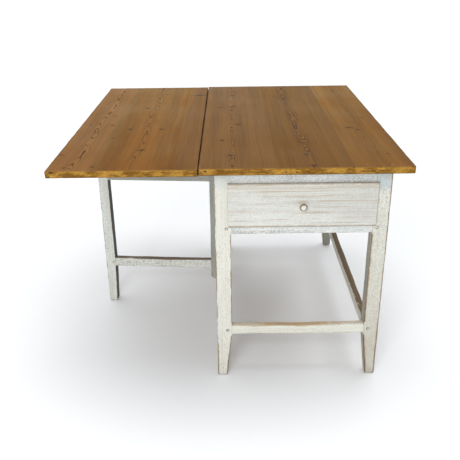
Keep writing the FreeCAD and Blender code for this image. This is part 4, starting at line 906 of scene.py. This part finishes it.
low, high = nodeBox("drawer_knob")
centre = ((low[2] + high[2]) / 2, (low[0] + high[0]) / 2)
flare, quarter = np.linspace(0, 1, knob["flareRings"]), np.linspace(0, quarterTurn, knob["rimRings"])
face = np.linspace(1, knob["facePole"], knob["faceRings"])[1:]
tail = knob["length"] - (high[1] - low[1])
crown, rim, faceRadius = knob["length"] - knob["dome"], knob["headRound"], knob["head"] - knob["headRound"]
stages = [  # shank, base, neck, back of the head, rim, face
    ((tail, tail + knob["shankEase"]), (knob["shank"] - knob["shankEase"], knob["shank"])),
    np.transpose(knob["base"]),
    (knob["neckStart"] + flare * (knob["headStart"] - knob["neckStart"]),
     knob["neck"] + (knob["flared"] - knob["neck"]) * flare ** knob["flarePower"]),
    (crown - rim * (1 + np.cos(quarter)) + knob["headLift"],
     knob["head"] - rim * (1 - np.sin(quarter)) * knob["headEase"]),
    (crown - rim * (1 - np.sin(quarter[1:])), faceRadius + rim * np.cos(quarter[1:])),
    (knob["length"] - knob["dome"] * face ** 2, faceRadius * face)]
along, radius = np.concatenate([np.array(stage) for stage in stages], 1)[:, ::-1]
points, poles = turnedSurface(low[1] + knob["length"] - along, radius, centre, knob, knob["seed"])
fromRim = np.abs(np.hypot(points[..., 1] - centre[0], points[..., 2] - centre[1]) - knob["head"])
onHead = points[..., 0] < low[1] + knob["headDepth"]
bare = np.where(onHead, np.interp(fromRim, *knob["rubbed"]), knob["neckBare"])
plain = np.zeros(fromRim.shape)
surface = points, poles, plain + farInland, bare, plain
addPiece("drawer_knob", "_turned", "y", [surface], knobPaint, knob["grainSeed"])
print("knob made")


# Pegs: riven pins, a little out of round, standing proud. The ends are rubbed to a dome: at share e of the
# radius the end lies dome * (1 - sqrt(1 - e^2)) further back.

pegBase = dict(
    radius=0.0035, dome=0.0006, domeShare=0.98, spokes=20, roundness=0.05, lumps=3, wood=0.28,
    lowerLevel=0.05, shortLength=0.02, seedSteps=(1000, 77), grainSeed=3, short=False, lower=None,
    ease=np.array([0.05, 0.35, 0.7, 0.92, 1]))
pegCollar = np.array([  # paint round the head: distance from the tip, radius beyond the peg, bare wood
    (0.0007, 0.0003, 1), (0.0006, 0.0008, 0.95), (0.0007, 0.0014, 0.55), (0.0012, 0.002, 0.1),
    (0.0022, 0.001, 0), (0.0026, 0, 0)])
pegPaint = wornPaint("worn_paint_pegs",
    wear=0, lines=0.3, paint=(0.78, 0.77, 0.7), woodLight=(0.25, 0.215, 0.17),
    woodDark=(0.15, 0.125, 0.098), shownFrom=0.7, shownTo=1)
pegGroups = [  # short pegs end inside the leg; lower is a rail pinned near its bottom too
    dict(node="pegs_front", axis="y", head="low"),
    dict(node="pegs_back", axis="y", head="high", lower="apron_back"),
    dict(node="pegs_left", axis="x", head="low", lower="apron_left", short=True),
    dict(node="pegs_right", axis="x", head="high", lower="apron_right", short=True),
    dict(node="gate_pegs", axis="y", head="low", lower="gate_top_rail", short=True, wood=0.2)]


def peg(look, first, last, level, column):
    ease, r = look["ease"], look["radius"]
    dome = look["dome"] * (1 - np.sqrt(1 - (ease * look["domeShare"]) ** 2))
    head = np.column_stack([dome, r * ease, np.full(len(ease), look["wood"])])
    tail = np.column_stack([last - first - dome[::-1], r * ease[::-1], np.zeros(len(ease))])
    profile = np.concatenate([head, pegCollar + (0, r, 0), tail])
    along = first + profile[:, 0]
    if look["head"] == "high":
        along, profile = last - profile[::-1, 0], profile[::-1]
    centre = {"y": (level, column), "x": (column, level)}[look["axis"]]
    seed = sum(int(value * factor) for value, factor in zip((level, column), look["seedSteps"]))
    points, poles = turnedSurface(along, profile[:, 1], centre, look, seed)
    plain = np.zeros(points.shape[:2])
    return points, poles, plain + farInland, plain + profile[:, [2]], plain


for changes in pegGroups:
    look = {**pegBase, **changes}
    along = axisOrder[look["axis"]][0]
    low, high = nodeBox(look["node"])
    r, short = look["radius"], look["shortLength"]
    levels = [low[2] + r, high[2] - r]
    if look["lower"]:
        levels.append(nodeBox(look["lower"])[0][2] + look["lowerLevel"])
    first, last = low[along], high[along]
    if look["short"]:
        first, last = (first, first + short) if look["head"] == "low" else (last - short, last)
    columns = low[1 - along] + r, high[1 - along] - r
    surfaces = [peg(look, first, last, level, column) for level in levels for column in columns]
    addPiece(look["node"], "_riven", look["axis"], surfaces, pegPaint, look["grainSeed"])
print("pegs made")


# Pieces whose CAD shape is right: they get their finish here.

ironFinish, rawAcross, rawAlong = darkIron(), rawPine("raw_pine_across", "x"), rawPine("raw_pine_along", "y")
rawNodes = dict.fromkeys(("top_buttons", "drawer_back", "drawer_bottom"), rawAcross)
for node in ("runner", "guide", "kicker", "drawer_side"):
    rawNodes |= {node + "_left": rawAlong, node + "_right": rawAlong}
for node, piece in nodes.items():
    if not piece.hide_render:
        piece.data.materials.clear()
        piece.data.materials.append(rawNodes.get(node, ironFinish))
print("finish given to", sum(not piece.hide_render for piece in nodes.values()), "CAD nodes")


# Floor, light and camera

floorLook = dict(  # lift: painted glow that camera, glossy and transmission rays see on the floor, less near the table than far from it
    half=60, colour=(0.873, 0.897, 0.928), lift=(0.114, 0.232), reach=(0.45, 2.3), roughness=0.9)
worldLook = dict(seen=1, ambient=0.25)
lamps = [
    dict(name="overhead", kind="SUN", place=(0.2, 1, 4), aim=(0, 0, 0.4), power=2.1, spread=62),
    dict(name="front", kind="AREA", place=(-0.6, -3.1, 1.9), aim=(0, 0, 0.5), power=47, size=1.4)]
cameraLook = dict(
    place=(-0.0023, -2.2423, 1.3199), pitch=24.344, yaw=0.016, roll=-0.682, focal=627.8, image=460,
    sensor=36)
white = (1, 1, 1)
scene = bpy.context.scene


def seenDirectly():
    rays = "Is Camera Ray", "Is Glossy Ray", "Is Transmission Ray"
    return larger(*(put("ShaderNodeLightPath", {}, ray) for ray in rays))


def makeFloor():
    half = floorLook["half"]
    corners = [(-half, -half, 0), (half, -half, 0), (half, half, 0), (-half, half, 0)]
    mesh = bpy.data.meshes.new("floor")
    mesh.from_pydata(corners, [], [(0, 1, 2, 3)])
    floor = bpy.data.objects.new("floor", mesh)
    scene.collection.objects.link(floor)
    mesh.materials.append(openMaterial("pale_floor", {}))
    lift = fade(vectors("LENGTH", objectPlace(), output=1), *floorLook["reach"], *floorLook["lift"])
    connect(opened["tree"].nodes["Principled BSDF"], {
        "Base Color": floorLook["colour"], "Roughness": floorLook["roughness"], "Specular IOR Level": 0,
        "Emission Color": white, "Emission Strength": seenDirectly() * lift})


def makeWorld():
    scene.world = bpy.data.worlds.new("studio")
    scene.world.use_nodes = True
    opened["tree"] = scene.world.node_tree
    strength = seenDirectly() * (worldLook["seen"] - worldLook["ambient"]) + worldLook["ambient"]
    connect(opened["tree"].nodes["Background"], {"Color": white, "Strength": strength})


def makeLamp(look):
    data = bpy.data.lights.new(look["name"], look["kind"])
    data.energy = look["power"]
    if look["kind"] == "SUN":
        data.angle = math.radians(look["spread"])
    else:
        data.size = look["size"]
    lamp = bpy.data.objects.new(look["name"], data)
    lamp.location = look["place"]
    way = np.array(look["aim"]) - np.array(look["place"])
    flat = math.hypot(way[0], way[1])
    lamp.rotation_euler = (math.atan2(flat, -way[2]), 0, math.atan2(-way[0], way[1]))
    scene.collection.objects.link(lamp)


def makeCamera():
    data = bpy.data.cameras.new("camera")
    data.sensor_width = cameraLook["sensor"]
    data.lens = cameraLook["focal"] / cameraLook["image"] * data.sensor_width
    camera = bpy.data.objects.new("camera", data)
    camera.location = cameraLook["place"]
    scene.collection.objects.link(camera)
    pitch, yaw, roll = (math.radians(cameraLook[key]) for key in ("pitch", "yaw", "roll"))
    turns = (yaw, "Z"), (math.pi / 2 - pitch, "X"), (roll, "Z")
    pan, tip, cant = (Matrix.Rotation(angle, 4, axis) for angle, axis in turns)
    camera.rotation_euler = (pan @ tip @ cant).to_euler("XYZ")
    scene.camera = camera


makeFloor()
makeWorld()
for look in lamps:
    makeLamp(look)
makeCamera()
scene.view_settings.view_transform = "Standard"
print("floor, light and camera set")
